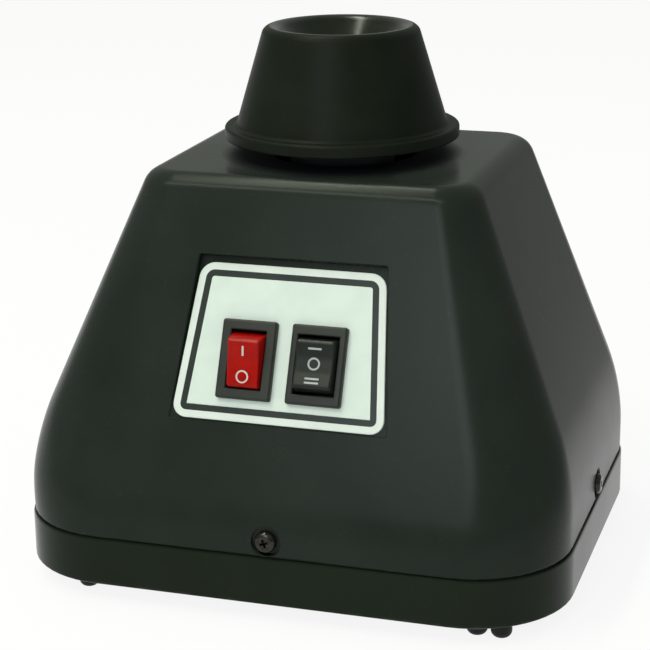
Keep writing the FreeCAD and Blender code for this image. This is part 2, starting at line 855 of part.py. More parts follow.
grommet = sleeve("cord_grommet", "grommet_bore_radius", "grommet_flange_radius",
                 "housing_wall + 2 * grommet_flange")
groove = grommet.newObject("PartDesign::Groove", "grommet_groove")
groove.Profile = outline(
    sketch(grommet, "XZ_Plane"),
    [
        ("grommet_radius", "grommet_flange"),
        ("grommet_flange_radius + grommet_flange", "grommet_flange"),
        ("grommet_flange_radius + grommet_flange", "grommet_flange + housing_wall"),
        ("grommet_radius", "grommet_flange + housing_wall"),
    ],
)
groove.ReferenceAxis = (groove.Profile[0], ["V_Axis"])
groove.Angle = 360
keep(on_back(grommet, "-housing_wall * cos(back_lean) - grommet_flange"), "cord_grommet")

# Label and switches

label = trapezoid("label_plate", "label_corner_radius", "0", "label_thickness")
windows = sketch(label, "XY_Plane", "label_thickness")
for x in switch_sides.values():
    rectangle(windows, "switch_body_width + 2 * cutout_clearance",
              "switch_body_height + 2 * cutout_clearance", x, "-switch_drop")
pocket(label, windows)
keep(on_panel(label), "label_plate")


def switch_body(name, x, opening):
    owner = body(name)
    frame = pad(owner, rectangle(sketch(owner, "XY_Plane", "label_thickness"), "bezel_width", "bezel_height"),
                "bezel_thickness")
    fillet(owner, frame, "bezel_edge_radius", at_height(num("bezel_front")))
    case = sketch(owner, "XY_Plane", "label_thickness - switch_body_depth")
    pad(owner, rectangle(case, "switch_body_width", "switch_body_height"), "switch_body_depth")
    mouth = sketch(owner, "XY_Plane", "bezel_front")
    pocket(owner, rectangle(mouth, opening, "rocker_length + 2 * rocker_end_gap"),
           "bezel_thickness + switch_body_depth - switch_floor")
    bore = sketch(owner, "YZ_Plane")
    pocket(owner, circle(bore, "trunnion_radius + trunnion_clearance", "0", "pivot_level"),
           "%s + 2 * trunnion_length" % opening, both=True)
    return keep(on_panel(owner, x, "-switch_drop"), name)


def rocker(name, x, opening, slope, swing):
    # Rocker about its own X axis: sloping ends and a V in its face.
    owner = body(name)
    end = "rocker_length / 2"
    tip = "(rocker_length / 2 - rocker_tip_inset)"
    profile = outline(
        sketch(owner, "YZ_Plane"),
        [
            ("-" + end, "-rocker_skirt"),
            (end, "-rocker_skirt"),
            (end, "rocker_shoulder"),
            (tip, "rocker_tip_height"),
            ("0", "rocker_tip_height - %s * tan(%s)" % (tip, slope)),
            ("-" + tip, "rocker_tip_height"),
            ("-" + end, "rocker_shoulder"),
        ],
    )
    width = "%s - 2 * rocker_side_clearance" % opening
    key = pad(owner, profile, width, both=True)
    tip_z = num("rocker_tip_height")
    fillet(owner, key, "rocker_edge_radius", lambda edge: abs(edge.ZMax - tip_z) < SAME and edge.ZMin > 0)
    pins = circle(sketch(owner, "YZ_Plane"), "trunnion_radius")
    pad(owner, pins, "%s + 2 * trunnion_length - 2 * trunnion_clearance" % opening, both=True)
    return keep(on_panel(owner, x, "-switch_drop", "pivot_level", swing), name)


def switch_tabs(name, x, rows):
    tabs = []
    for row in rows:
        tab = block("tab", "tab_width", "tab_thickness", "tab_length")
        tabs.append(on_panel(tab, x, "%s * tab_pitch - switch_drop" % row,
                             "label_thickness - switch_body_depth - tab_length"))
    group(tabs, name)


switch_body("power_switch_body", switch_sides["power"], "power_opening_width")
rocker("power_rocker", switch_sides["power"], "power_opening_width", "power_face_angle", "power_rocker_angle")
switch_tabs("power_switch_terminals", switch_sides["power"], (-1, 1))
switch_body("speed_switch_body", switch_sides["speed"], "speed_opening_width")
rocker("speed_rocker", switch_sides["speed"], "speed_opening_width", "speed_rocker_angle", "0")
switch_tabs("speed_switch_terminals", switch_sides["speed"], (-1, 0, 1))

# Terminal block beside the cord inlet

terminal_block = block("terminal_block", "block_width", "block_length", "block_height")
wells = sketch(terminal_block, "XY_Plane", "block_height")
well_rows = (-1, 0, 1)
for row in well_rows:
    circle(wells, "block_screw_radius", "0", "%s * block_screw_pitch" % row)
pocket(terminal_block, wells, "block_screw_depth")
block_place = dict(x="block_inset + block_width / 2 - body_width / 2", z="tray_inside_z")
move(terminal_block, y="block_setback", **block_place)
keep(terminal_block, "terminal_block")
clamp_screw = sleeve("clamp_screw", "0", "block_screw_radius", "block_screw_depth")
clamp_slot = sketch(clamp_screw, "XY_Plane", "block_screw_depth")
pocket(clamp_screw, rectangle(clamp_slot, "3 * block_screw_radius", "cross_slot_width"), "cross_slot_depth")
clamp_place = dict(block_place, z="tray_inside_z + block_height - block_screw_depth")
group([copy(clamp_screw, y="block_setback + %s * block_screw_pitch" % row, **clamp_place)
       for row in well_rows], "terminal_screws")

# Ballast, isolators and motor plate

ballast = body("ballast_plate")
pad(ballast, round_rectangle(sketch(ballast, "XY_Plane"), "ballast_width", "ballast_depth",
                             "ballast_corner_radius"), "ballast_thickness")
ballast_holes = sketch(ballast, "XY_Plane", "ballast_thickness")
motor_plate = body("motor_plate")
pad(motor_plate, round_rectangle(sketch(motor_plate, "XY_Plane"), "plate_width", "plate_width",
                                 "plate_corner_radius"), "plate_thickness")
plate_holes = sketch(motor_plate, "XY_Plane", "plate_thickness")
for i, j in ((-1, -1), (1, -1), (1, 1), (-1, 1)):
    for holes in (ballast_holes, plate_holes):
        circle(holes, "mount_screw_radius + mount_hole_clearance",
               "%d * isolator_pitch / 2" % i, "%d * isolator_pitch / 2" % j)
circle(plate_holes, "plate_hole_radius")
for sign in ("-", ""):
    circle(plate_holes, "tie_bolt_radius", "0", sign + "tie_bolt_circle")
pocket(ballast, ballast_holes)
pocket(motor_plate, plate_holes)
keep(move(ballast, y="motor_setback", z="tray_inside_z"), "ballast_plate")
keep(move(motor_plate, y="motor_setback", z="plate_z"), "motor_plate")

isolator = turned(
    "isolator",
    [
        ("0", "mount_thread"),
        ("mount_screw_radius", "mount_thread"),
        ("mount_screw_radius", "0"),
        ("isolator_radius", "0"),
        ("isolator_radius", "isolator_height"),
        ("mount_screw_radius", "isolator_height"),
        ("mount_screw_radius", "isolator_height - mount_thread"),
        ("0", "isolator_height - mount_thread"),
    ],
)
group([copy(isolator, x=x, y=y, z="ballast_top_z") for x, y in isolator_places], "vibration_isolators")
lower_screw = pan_screw("lower_screw", "mount_head_radius", "mount_head_height", "screw_head_edge",
                        "mount_screw_radius", "tray_floor + ballast_thickness + mount_thread")
group([copy(lower_screw, x=x, y=y, z="foot_height", axis=(1, 0, 0), angle="180")
       for x, y in isolator_places], "isolator_lower_screws")
upper_screw = pan_screw("upper_screw", "mount_head_radius", "mount_head_height", "screw_head_edge",
                        "mount_screw_radius", "plate_thickness + mount_thread")
group([copy(upper_screw, x=x, y=y, z="lower_bell_z") for x, y in isolator_places],
      "isolator_upper_screws")

# Motor


def bell(name, extra_holes):
    # End cover, open upwards, with the bush boss inside.
    owner = turned(
        name,
        [
            ("bush_radius", "0"),
            ("motor_radius", "0"),
            ("motor_radius", "bell_depth"),
            ("motor_radius - bell_wall", "bell_depth"),
            ("motor_radius - bell_wall", "bell_end"),
            ("bush_boss_radius", "bell_end"),
            ("bush_boss_radius", "bush_length"),
            ("bush_radius", "bush_length"),
        ],
    )
    vent = pocket(owner, circle(sketch(owner, "XY_Plane", "bell_end"), "bell_vent_radius",
                                "bell_vent_circle * cos(45)", "bell_vent_circle * sin(45)"), "bell_end")
    polar(owner, vent, "4")
    bolt_holes = sketch(owner, "XY_Plane", "bell_end")
    for sign in ("-", ""):
        circle(bolt_holes, "tie_bolt_radius", "0", sign + "tie_bolt_circle")
        if extra_holes:
            circle(bolt_holes, "standoff_screw_radius", sign + "standoff_circle", "0")
    owner.Tip = pocket(owner, bolt_holes, "bell_end")
    return owner


on_axis = dict(y="motor_setback")
keep(move(bell("motor_lower_bell", False), z="lower_bell_z", **on_axis), "motor_lower_bell")
keep(move(bell("motor_upper_bell", True), z="motor_top_z", axis=(1, 0, 0), angle="180", **on_axis),
     "motor_upper_bell")

bush = sleeve("bush", "bush_bore_radius", "bush_radius", "bush_length")
group([copy(bush, z="lower_bell_z", **on_axis)], "lower_bush")
group([copy(bush, z="motor_top_z - bush_length", **on_axis)], "upper_bush")

yoke = sleeve("yoke", "stator_inner_radius", "motor_radius", "stator_height")
poles = block("poles", "2 * stator_inner_radius + stator_yoke", "pole_width", "stator_height")
stator_bore = cylinder("stator_bore", "pole_face_radius", "stator_height")
for item in (yoke, poles, stator_bore):
    move(item, z="stator_z", **on_axis)
keep(cut(fuse([yoke, poles], "stator_blank"), [stator_bore], "stator_core"), "stator_core")

coil = body("coil")
coil_drawing = sketch(coil, "YZ_Plane", "pole_face_radius + coil_clearance")
coil_width = "(pole_width + 2 * coil_clearance + 2 * coil_thickness)"
coil_height = "(stator_height + 2 * coil_overhang)"
round_rectangle(coil_drawing, coil_width, coil_height, "coil_thickness", "stator_height / 2")
rectangle(coil_drawing, "pole_width + 2 * coil_clearance", "stator_height + 2 * coil_clearance", "0",
          "stator_height / 2")
pad(coil, coil_drawing, "coil_depth")
group([copy(coil, z="stator_z", **on_axis),
       copy(coil, z="stator_z", axis=(0, 0, 1), angle="180", **on_axis)], "field_coils")

tie_length = "motor_top_z - plate_z + tie_nut_height"
tie_bolt = turned(
    "tie_bolt",
    [
        ("0", "-tie_head_height"),
        ("tie_head_radius", "-tie_head_height"),
        ("tie_head_radius", "0"),
        ("tie_bolt_radius", "0"),
        ("tie_bolt_radius", tie_length),
        ("0", tie_length),
    ],
)
tie_places = ["motor_setback %s tie_bolt_circle" % sign for sign in "-+"]
group([copy(tie_bolt, y=y, z="plate_z") for y in tie_places], "motor_tie_bolts")
nut_blank = doc.addObject("Part::Prism", "nut_blank")
nut_blank.Polygon = 6
nut_blank.setExpression("Circumradius", ex("tie_nut_radius"))
nut_blank.setExpression("Height", ex("tie_nut_height"))
nut = cut(nut_blank, [cylinder("nut_bore", "tie_bolt_radius", "tie_nut_height")], "nut")
group([copy(nut, y=y, z="motor_top_z") for y in tie_places], "motor_tie_nuts")

keep(move(sleeve("motor_shaft", "0", "shaft_radius", "shaft_top_z - shaft_z"), z="shaft_z", **on_axis),
     "motor_shaft")
keep(move(sleeve("rotor_core", "shaft_radius", "rotor_radius", "stator_height"), z="stator_z", **on_axis),
     "rotor_core")
spacer = sleeve("spacer", "shaft_radius", "spacer_radius", "spacer_length")
group([copy(spacer, z="stator_z - spacer_length", **on_axis), copy(spacer, z="upper_bell_z", **on_axis)],
      "thrust_spacers")

fan = sleeve("cooling_fan", "shaft_radius", "fan_hub_radius", "fan_height")
fan_plate = sketch(fan, "XY_Plane", "fan_height - fan_disc")
circle(fan_plate, "fan_radius")
circle(fan_plate, "(shaft_radius + fan_hub_radius) / 2")
pad(fan, fan_plate, "fan_disc")
blade_root = "(shaft_radius + fan_hub_radius) / 2"
blade = pad(fan, rectangle(sketch(fan, "XY_Plane"), "fan_radius - %s" % blade_root, "blade_thickness",
                           "(fan_radius + %s) / 2" % blade_root), "fan_height")
polar(fan, blade, "fan_blades")
keep(move(fan, z="fan_z", **on_axis), "cooling_fan")

# Crank with counterweight: its pin stands off the motor axis by the throw

crank = sleeve("eccentric_hub", "0", "crank_radius", "crank_height")
weight = sketch(crank, "XY_Plane")
outline(weight, [("counterweight_radius", "0", "counterweight_radius", 1),
                 ("0", "counterweight_radius", "counterweight_radius", 1),
                 ("-counterweight_radius", "0")])
pad(crank, weight, "counterweight_thickness")
shoulder = circle(sketch(crank, "XY_Plane", "crank_height"), "pin_shoulder_radius", "0", "-crank_throw")
pad(crank, shoulder, "bearing_z - crank_top_z")
crank_pin = circle(sketch(crank, "XY_Plane", "bearing_z - crank_z"), "pin_radius", "0", "-crank_throw")
pad(crank, crank_pin, "bearing_width + pin_end_gap")
pocket(crank, circle(sketch(crank, "XY_Plane"), "shaft_radius"), "crank_grip", reverse=True)
pocket(crank, circle(sketch(crank, "XZ_Plane"), "set_screw_radius", "0", "crank_grip - set_screw_drop"),
       "crank_radius", reverse=True)
keep(move(crank, z="crank_z", **on_axis), "eccentric_hub")
grub = sleeve("hub_set_screw", "0", "set_screw_radius", "set_screw_length")
pocket(grub, circle(sketch(grub, "XY_Plane", "set_screw_length"), "set_screw_radius / 2"), "set_screw_radius")
move(grub, y="motor_setback - shaft_radius", z="crank_z + crank_grip - set_screw_drop", axis=(1, 0, 0),
     angle="90")
keep(grub, "hub_set_screw")

# Restraint: two pegs on the head run round in two larger holes

restraint = body("restraint_plate")
pad(restraint, rectangle(sketch(restraint, "XY_Plane"), "restraint_length", "restraint_width"),
    "restraint_thickness")
restraint_holes = circle(sketch(restraint, "XY_Plane", "restraint_thickness"),
                         "crank_radius + restraint_crank_gap")
for sign in ("-", ""):
    circle(restraint_holes, "restraint_hole_radius", sign + "peg_circle", "0")
    circle(restraint_holes, "standoff_screw_radius", sign + "standoff_circle", "0")
pocket(restraint, restraint_holes)
keep(move(restraint, z="restraint_z", **on_axis), "restraint_plate")
standoff = sleeve("standoff", "standoff_screw_radius", "standoff_radius", "restraint_z - motor_top_z")
side_places = ["%sstandoff_circle" % sign for sign in ("-", "")]
group([copy(standoff, x=x, z="motor_top_z", **on_axis) for x in side_places], "plate_standoffs")
plate_screw = pan_screw("plate_screw", "screw_head_radius", "screw_head_height", "screw_head_edge",
                        "standoff_screw_radius",
                        "restraint_thickness + restraint_z - motor_top_z + bell_end")
group([copy(plate_screw, x=x, z="restraint_z + restraint_thickness", **on_axis) for x in side_places],
      "plate_screws")

# Bearing


def ring(name, inner, outer):
    blank = sleeve(name, inner, outer, "bearing_width")
    race = blank.newObject("PartDesign::Groove", name + "_race")
    race.Profile = circle(sketch(blank, "XZ_Plane"), "race_radius", "ball_circle", "bearing_width / 2")
    race.ReferenceAxis = (race.Profile[0], ["V_Axis"])
    race.Angle = 360
    return keep(move(blank, y="cup_y", z="bearing_z"), name)


ring("bearing_inner_ring", "pin_radius", "pin_radius + bearing_ring")
ring("bearing_outer_ring", "bearing_radius - bearing_ring", "bearing_radius")
balls = []
for number in range(int(num("ball_count"))):
    angle = "%d * 360 / ball_count" % number
    ball = doc.addObject("Part::Sphere", "ball")
    ball.setExpression("Radius", ex("ball_radius"))
    balls.append(move(ball, x="ball_circle * sin(%s)" % angle, y="cup_y - ball_circle * cos(%s)" % angle,
                      z="bearing_mid_z"))
group(balls, "bearing_balls")
cage = sleeve("bearing_cage", "ball_circle - cage_thickness / 2", "ball_circle + cage_thickness / 2",
              "cage_width")
window = circle(sketch(cage, "XZ_Plane"), "ball_radius + cage_pocket_gap", "0", "cage_width / 2")
polar(cage, pocket(cage, window, "ball_circle + cage_thickness", reverse=True), "ball_count")
keep(move(cage, y="cup_y", z="bearing_mid_z - cage_width / 2"), "bearing_cage")

# Head: hub with its bearing seat, snap ring, pegs and rubber cup

hub = turned(
    "cup_hub",
    [
        ("bearing_radius", "hub_z"),
        ("hub_flange_radius", "hub_z"),
        ("hub_flange_radius", "bearing_z"),
        ("hub_barrel_radius", "bearing_z"),
        ("hub_barrel_radius", "cup_z"),
        ("hub_boss_radius", "cup_z"),
        ("hub_boss_radius", "cup_z + hub_boss_height"),
        ("0", "cup_z + hub_boss_height"),
        ("0", "cup_z - hub_roof + hub_relief_depth"),
        ("bearing_radius - bearing_ring", "cup_z - hub_roof + hub_relief_depth"),
        ("bearing_radius - bearing_ring", "cup_z - hub_roof"),
        ("bearing_radius", "cup_z - hub_roof"),
        ("bearing_radius", "bearing_z"),
        ("bearing_radius + circlip_bite", "bearing_z"),
        ("bearing_radius + circlip_bite", "circlip_z"),
        ("bearing_radius", "circlip_z"),
    ],
)
peg_holes = sketch(hub, "XY_Plane", "hub_z")
for sign in ("-", ""):
    circle(peg_holes, "peg_radius", sign + "peg_circle", "0")
pocket(hub, peg_holes, "bearing_z - hub_z", reverse=True)
keep(move(hub, y="cup_y"), "cup_hub")

circlip = sleeve("bearing_circlip", "bearing_radius + circlip_bite - circlip_width",
                 "bearing_radius + circlip_bite", "circlip_thickness")
clip_gap = sketch(circlip, "XY_Plane", "circlip_thickness")
pocket(circlip, rectangle(clip_gap, "2 * circlip_width", "bearing_radius", "0", "bearing_radius"))
keep(move(circlip, y="cup_y", z="circlip_z"), "bearing_circlip")

peg = sleeve("peg", "0", "peg_radius", "bearing_z - restraint_z")
group([copy(peg, x=sign + "peg_circle", y="cup_y", z="restraint_z") for sign in ("-", "")], "restraint_pegs")

cup = turned(
    "mixing_cup",
    [
        ("hub_boss_radius", "0"),
        ("cup_flange_radius - cup_flange_edge", "0"),
        ("cup_flange_radius", "cup_flange_edge"),
        ("cup_flange_radius", "cup_flange_thickness - cup_flange_edge"),
        ("cup_flange_radius - cup_flange_edge", "cup_flange_thickness"),
        ("cup_base_radius", "cup_flange_thickness"),
        ("cup_top_radius", "cup_height - cup_rim_round", "cup_rim_round", 1),
        ("cup_top_radius - cup_rim_round", "cup_height"),
        ("bowl_radius + bowl_lip_tangent", "cup_height", "bowl_lip_round", 1),
        ("bowl_radius - bowl_lip_tangent * cos(bowl_slope)", "cup_height - bowl_lip_tangent * sin(bowl_slope)"),
        ("bowl_tip_radius + bowl_tip_tangent * cos(bowl_slope)",
         "bowl_floor + bowl_tip_tangent * sin(bowl_slope)",
         "bowl_tip_round", -1),
        ("bowl_tip_radius - bowl_tip_tangent", "bowl_floor"),
        ("0", "bowl_floor"),
        ("0", "hub_boss_height"),
        ("hub_boss_radius", "hub_boss_height"),
    ],
)
keep(move(cup, y="cup_y", z="cup_z"), "mixing_cup")

doc.recompute()

for item in doc.Objects:
    if {"Invalid", "Error"} & set(item.State):
        raise RuntimeError("%s failed: %s" % (item.Label, item.State))
for item in pieces:
    if item.Shape.isNull() or not item.Shape.isValid():
        raise RuntimeError("%s has no valid shape" % item.Label)

os.makedirs("parts", exist_ok=True)
for item in pieces:
    item.Shape.exportStep(os.path.join("parts", item.Label + ".step"))
    box = item.Shape.BoundBox
    print("%-24s solids %2d  volume %10.1f  z %7.2f to %7.2f"
          % (item.Label, len(item.Shape.Solids), item.Shape.Volume, box.ZMin, box.ZMax))
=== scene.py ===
import json
import math

import bmesh
import bpy
from mathutils import Matrix, Vector
from mathutils.bvhtree import BVHTree

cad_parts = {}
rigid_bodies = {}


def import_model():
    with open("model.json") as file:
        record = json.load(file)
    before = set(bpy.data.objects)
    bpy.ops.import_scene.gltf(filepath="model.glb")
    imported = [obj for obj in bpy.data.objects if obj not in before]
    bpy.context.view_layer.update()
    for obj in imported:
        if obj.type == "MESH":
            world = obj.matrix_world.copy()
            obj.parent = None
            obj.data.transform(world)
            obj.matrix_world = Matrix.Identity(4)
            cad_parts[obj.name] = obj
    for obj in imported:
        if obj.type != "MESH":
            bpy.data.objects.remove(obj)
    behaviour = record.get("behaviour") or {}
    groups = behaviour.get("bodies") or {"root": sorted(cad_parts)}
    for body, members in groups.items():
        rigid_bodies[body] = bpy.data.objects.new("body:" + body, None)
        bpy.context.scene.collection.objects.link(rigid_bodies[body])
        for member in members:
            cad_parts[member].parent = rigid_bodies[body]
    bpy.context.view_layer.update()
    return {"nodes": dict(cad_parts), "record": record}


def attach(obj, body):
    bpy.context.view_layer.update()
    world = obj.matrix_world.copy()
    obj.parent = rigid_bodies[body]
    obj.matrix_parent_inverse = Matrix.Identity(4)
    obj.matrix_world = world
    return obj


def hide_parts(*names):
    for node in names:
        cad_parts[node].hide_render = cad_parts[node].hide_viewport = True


for leftOver in list(bpy.data.objects):
    bpy.data.objects.remove(leftOver)
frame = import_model()
cadNodes = frame["nodes"]
slotOf = {part["node"]: part["material_slot"] for part in frame["record"]["subparts"]}
scene = bpy.context.scene
mm = 0.001  # pieces are drawn in millimetres and scaled once
sharpAngle = math.radians(35)
print("frame loaded:", len(cadNodes), "nodes")


# finishes: small node helpers first

def startFinish(name):
    finish = bpy.data.materials.new(name)
    finish.use_nodes = True
    tree = finish.node_tree
    spot = tree.nodes.new("ShaderNodeTexCoord").outputs["Object"]
    return finish, tree, tree.nodes["Principled BSDF"], spot


def stretchSpot(tree, spot, factors):
    mapping = tree.nodes.new("ShaderNodeMapping")
    mapping.inputs["Scale"].default_value = factors
    tree.links.new(spot, mapping.inputs["Vector"])
    return mapping.outputs["Vector"]


def lumps(tree, spot, size, detail=2.0):
    # noise with lumps about size millimetres across
    noise = tree.nodes.new("ShaderNodeTexNoise")
    noise.inputs["Scale"].default_value = 1 / (size * mm)
    noise.inputs["Detail"].default_value = detail
    tree.links.new(spot, noise.inputs["Vector"])
    return noise.outputs["Fac"]


def pits(tree, spot, size):
    # round dimples about size millimetres apart
    cells = tree.nodes.new("ShaderNodeTexVoronoi")
    cells.feature = "SMOOTH_F1"
    cells.inputs["Scale"].default_value = 1 / (size * mm)
    tree.links.new(spot, cells.inputs["Vector"])
    return cells.outputs["Distance"]


def spread(tree, value, fromLow, fromHigh, toLow, toHigh):
    ranger = tree.nodes.new("ShaderNodeMapRange")
    numbers = {"From Min": fromLow, "From Max": fromHigh, "To Min": toLow, "To Max": toHigh}
    for socket, number in numbers.items():
        ranger.inputs[socket].default_value = number
    tree.links.new(value, ranger.inputs["Value"])
    return ranger.outputs["Result"]


noiseLow, noiseHigh = 0.3, 0.7  # nearly all of the noise lies between these


def fromNoise(tree, noise, low, high):
    return spread(tree, noise, noiseLow, noiseHigh, low, high)


def combine(tree, first, second, how="MULTIPLY"):
    sums = tree.nodes.new("ShaderNodeMath")
    sums.operation = how
    tree.links.new(first, sums.inputs[0])
    tree.links.new(second, sums.inputs[1])
    return sums.outputs["Value"]


def mixColour(tree, amount, first, second):
    # first and second are plain colours or colour sockets
    mix = tree.nodes.new("ShaderNodeMix")
    mix.data_type = "RGBA"
    tree.links.new(amount, mix.inputs[0])
    # inputs 6 and 7 and output 2 are the node's own set for colours
    for socket, colour in ((mix.inputs[6], first), (mix.inputs[7], second)):
        if isinstance(colour, tuple):
            socket.default_value = (*colour, 1)
        else:
            tree.links.new(colour, socket)
    return mix.outputs[2]


def relief(tree, height, depth, below=None):
    # bump of the given depth in millimetres, on top of an earlier one
    bump = tree.nodes.new("ShaderNodeBump")
    bump.inputs["Distance"].default_value = depth * mm
    tree.links.new(height, bump.inputs["Height"])
    if below:
        tree.links.new(below, bump.inputs["Normal"])
    return bump.outputs["Normal"]


def heightBand(tree, spot, start, end):
    # 0 at height start and 1 at height end, in millimetres up from the bench
    parts = tree.nodes.new("ShaderNodeSeparateXYZ")
    tree.links.new(spot, parts.inputs["Vector"])
    return spread(tree, parts.outputs["Z"], start * mm, end * mm, 0, 1)


def ringAround(tree, spot, middle, inner, outer):
    # 0 within inner, 1 beyond outer, in millimetres from an upright line through middle
    flat = tree.nodes.new("ShaderNodeVectorMath")
    flat.operation = "DISTANCE"
    flat.inputs[1].default_value = (middle[0] * mm, middle[1] * mm, 0)
    tree.links.new(stretchSpot(tree, spot, (1, 1, 0)), flat.inputs[0])
    return spread(tree, flat.outputs["Value"], inner * mm, outer * mm, 0, 1)


def wire(tree, shader, colour, rough, normal):
    for socket, value in (("Base Color", colour), ("Roughness", rough), ("Normal", normal)):
        tree.links.new(value, shader.inputs[socket])


moulding = {
    "speckPeaks": (0.70, 0.78), "rubSize": 5.0, "rubPeaks": (0.45, 0.65), "grainPlay": (0.94, 1.06),
    "pitSpacing": 2.2, "pitDepth": 0.6, "sheen": (0.93, 1.0, 0.91, 1)}


def mouldedFinish(name, look):
    # satin moulding: cloudy colour, fine spark grain, specks of dust, a rubbed edge and, where asked, painted
    # shade under the cup
    finish, tree, shader, spot = startFinish(name)
    cloud = lumps(tree, spot, look["cloud"], detail=4.0)
    grain = lumps(tree, spot, look["grain"], detail=3.0)
    dots = lumps(tree, spot, look["speck"], detail=1.0)
    colour = mixColour(tree, fromNoise(tree, cloud, 0, 1), look["dark"], look["light"])
    speck = spread(tree, dots, *moulding["speckPeaks"], 0, look["dust"])
    colour = mixColour(tree, speck, colour, look["dustTone"])
    rough = fromNoise(tree, cloud, *look["rough"])
    if "rubbed" in look:
        # strongest at the lower rim
        low, high = look["rubbed"]
        blotch = lumps(tree, spot, moulding["rubSize"], detail=3.0)
        patch = spread(tree, blotch, *moulding["rubPeaks"], 0, look["rub"])
        edge = combine(tree, heightBand(tree, spot, high, low), patch)
        colour = mixColour(tree, edge, colour, look["rubTone"])
    if "paintedShade" in look:
        # painted shade under the cup's flange: the top goes dark, and rougher, within a ring round the cup
        clear = ringAround(tree, spot, *look["paintedShade"])
        colour = mixColour(tree, clear, look["paintedShadeTone"], colour)
        rough = combine(tree, rough, spread(tree, clear, 0, 1, look["paintedShadeRough"], 0), "ADD")
    rough = combine(tree, rough, fromNoise(tree, grain, *moulding["grainPlay"]))
    dimples = pits(tree, spot, look["grain"] * moulding["pitSpacing"])
    normal = relief(tree, grain, look["relief"])
    normal = relief(tree, dimples, look["relief"] * moulding["pitDepth"], normal)
    wire(tree, shader, colour, rough, normal)
    shader.inputs["Specular IOR Level"].default_value = look["gloss"]
    shader.inputs["Specular Tint"].default_value = moulding["sheen"]
    return finish


housingPlastic = mouldedFinish("housingPlastic", {
    "dark": (0.0119, 0.0161, 0.0128), "light": (0.0161, 0.0211, 0.0171), "cloud": 26.0,
    "grain": 0.45, "relief": 0.006, "rough": (0.22, 0.28), "gloss": 0.09,
    "speck": 1.1, "dust": 0.10, "dustTone": (0.09, 0.095, 0.09),
    "rubbed": (18.1, 19.0), "rub": 0.35, "rubTone": (0.05, 0.055, 0.05),
    # painted shade: dark within 28 mm of the cup's axis, fading out by 34 mm
    "paintedShade": ((0, 8), 28, 34), "paintedShadeTone": (0.010, 0.011, 0.014), "paintedShadeRough": 0.5})
trayPlastic = mouldedFinish("trayPlastic", {
    "dark": (0.0068, 0.0112, 0.0062), "light": (0.0092, 0.0142, 0.0084), "cloud": 30.0,
    "grain": 0.40, "relief": 0.005, "rough": (0.17, 0.23), "gloss": 0.10,
    "speck": 1.4, "dust": 0.06, "dustTone": (0.08, 0.085, 0.08),
    "rubbed": (4.9, 6.0), "rub": 0.5, "rubTone": (0.06, 0.065, 0.06)})
switchBlack = mouldedFinish("switchBlack", {
    "dark": (0.0215, 0.0225, 0.0205), "light": (0.0295, 0.0305, 0.0275), "cloud": 8.0,
    "grain": 0.25, "relief": 0.003, "rough": (0.34, 0.42), "gloss": 0.2,
    "speck": 0.8, "dust": 0.04, "dustTone": (0.12, 0.12, 0.115)})
speedBlack = mouldedFinish("speedBlack", {
    "dark": (0.010, 0.0115, 0.010), "light": (0.015, 0.0165, 0.0145), "cloud": 6.0,
    "grain": 0.22, "relief": 0.002, "rough": (0.28, 0.36), "gloss": 0.2,
    "speck": 0.8, "dust": 0.03, "dustTone": (0.1, 0.1, 0.095)})
blackMoulding = mouldedFinish("blackMoulding", {
    "dark": (0.010, 0.010, 0.010), "light": (0.016, 0.016, 0.015), "cloud": 9.0,
    "grain": 0.3, "relief": 0.004, "rough": (0.4, 0.5), "gloss": 0.4,
    "speck": 0.9, "dust": 0.05, "dustTone": (0.1, 0.1, 0.1)})


rubber = {"swirlStretch": (0.12, 0.12, 1.0), "bloomSize": 2.3, "bloomPeaks": (0.62, 0.8)}


def rubberFinish(name, look):
    # soft moulded rubber: faint bloom, fine matt skin and shallow swirl marks
    finish, tree, shader, spot = startFinish(name)
    cloud = lumps(tree, spot, look["cloud"], detail=3.0)
    skin = lumps(tree, spot, look["skin"], detail=4.0)
    swirl = lumps(tree, stretchSpot(tree, spot, rubber["swirlStretch"]), look["swirl"])
    colour = mixColour(tree, fromNoise(tree, cloud, 0, 1), look["dark"], look["light"])
    bloom = spread(tree, lumps(tree, spot, rubber["bloomSize"]), *rubber["bloomPeaks"], 0, look["bloom"])
    colour = mixColour(tree, bloom, colour, look["bloomTone"])
    rough = fromNoise(tree, cloud, *look["rough"])
    normal = relief(tree, skin, look["skinDepth"], relief(tree, swirl, look["swirlDepth"]))
    wire(tree, shader, colour, rough, normal)
    shader.inputs["Specular IOR Level"].default_value = look["gloss"]
    return finish


headRubber = rubberFinish("headRubber", {
    "dark": (0.0066, 0.0093, 0.0058), "light": (0.0095, 0.0125, 0.0084), "cloud": 14.0,
    "skin": 0.35, "skinDepth": 0.003, "swirl": 1.6, "swirlDepth": 0.006, "rough": (0.38, 0.46),
    "bloom": 0.05, "bloomTone": (0.05, 0.055, 0.045), "gloss": 0.055})
bowlRubber = rubberFinish("bowlRubber", {
    "dark": (0.0055, 0.0085, 0.0045), "light": (0.0080, 0.0115, 0.0065), "cloud": 9.0,
    "skin": 0.30, "skinDepth": 0.002, "swirl": 1.2, "swirlDepth": 0.004, "rough": (0.18, 0.24),
    "bloom": 0.10, "bloomTone": (0.05, 0.055, 0.04), "gloss": 0.22})
footRubber = rubberFinish("footRubber", {
    "dark": (0.0060, 0.0072, 0.0070), "light": (0.0100, 0.0115, 0.0110), "cloud": 4.0,
    "skin": 0.25, "skinDepth": 0.006, "swirl": 0.9, "swirlDepth": 0.004, "rough": (0.45, 0.6),
    "bloom": 0.15, "bloomTone": (0.06, 0.06, 0.055), "gloss": 0.2})


printing = {"mottle": 6.0, "peelSize": 0.5, "gloss": 0.25}


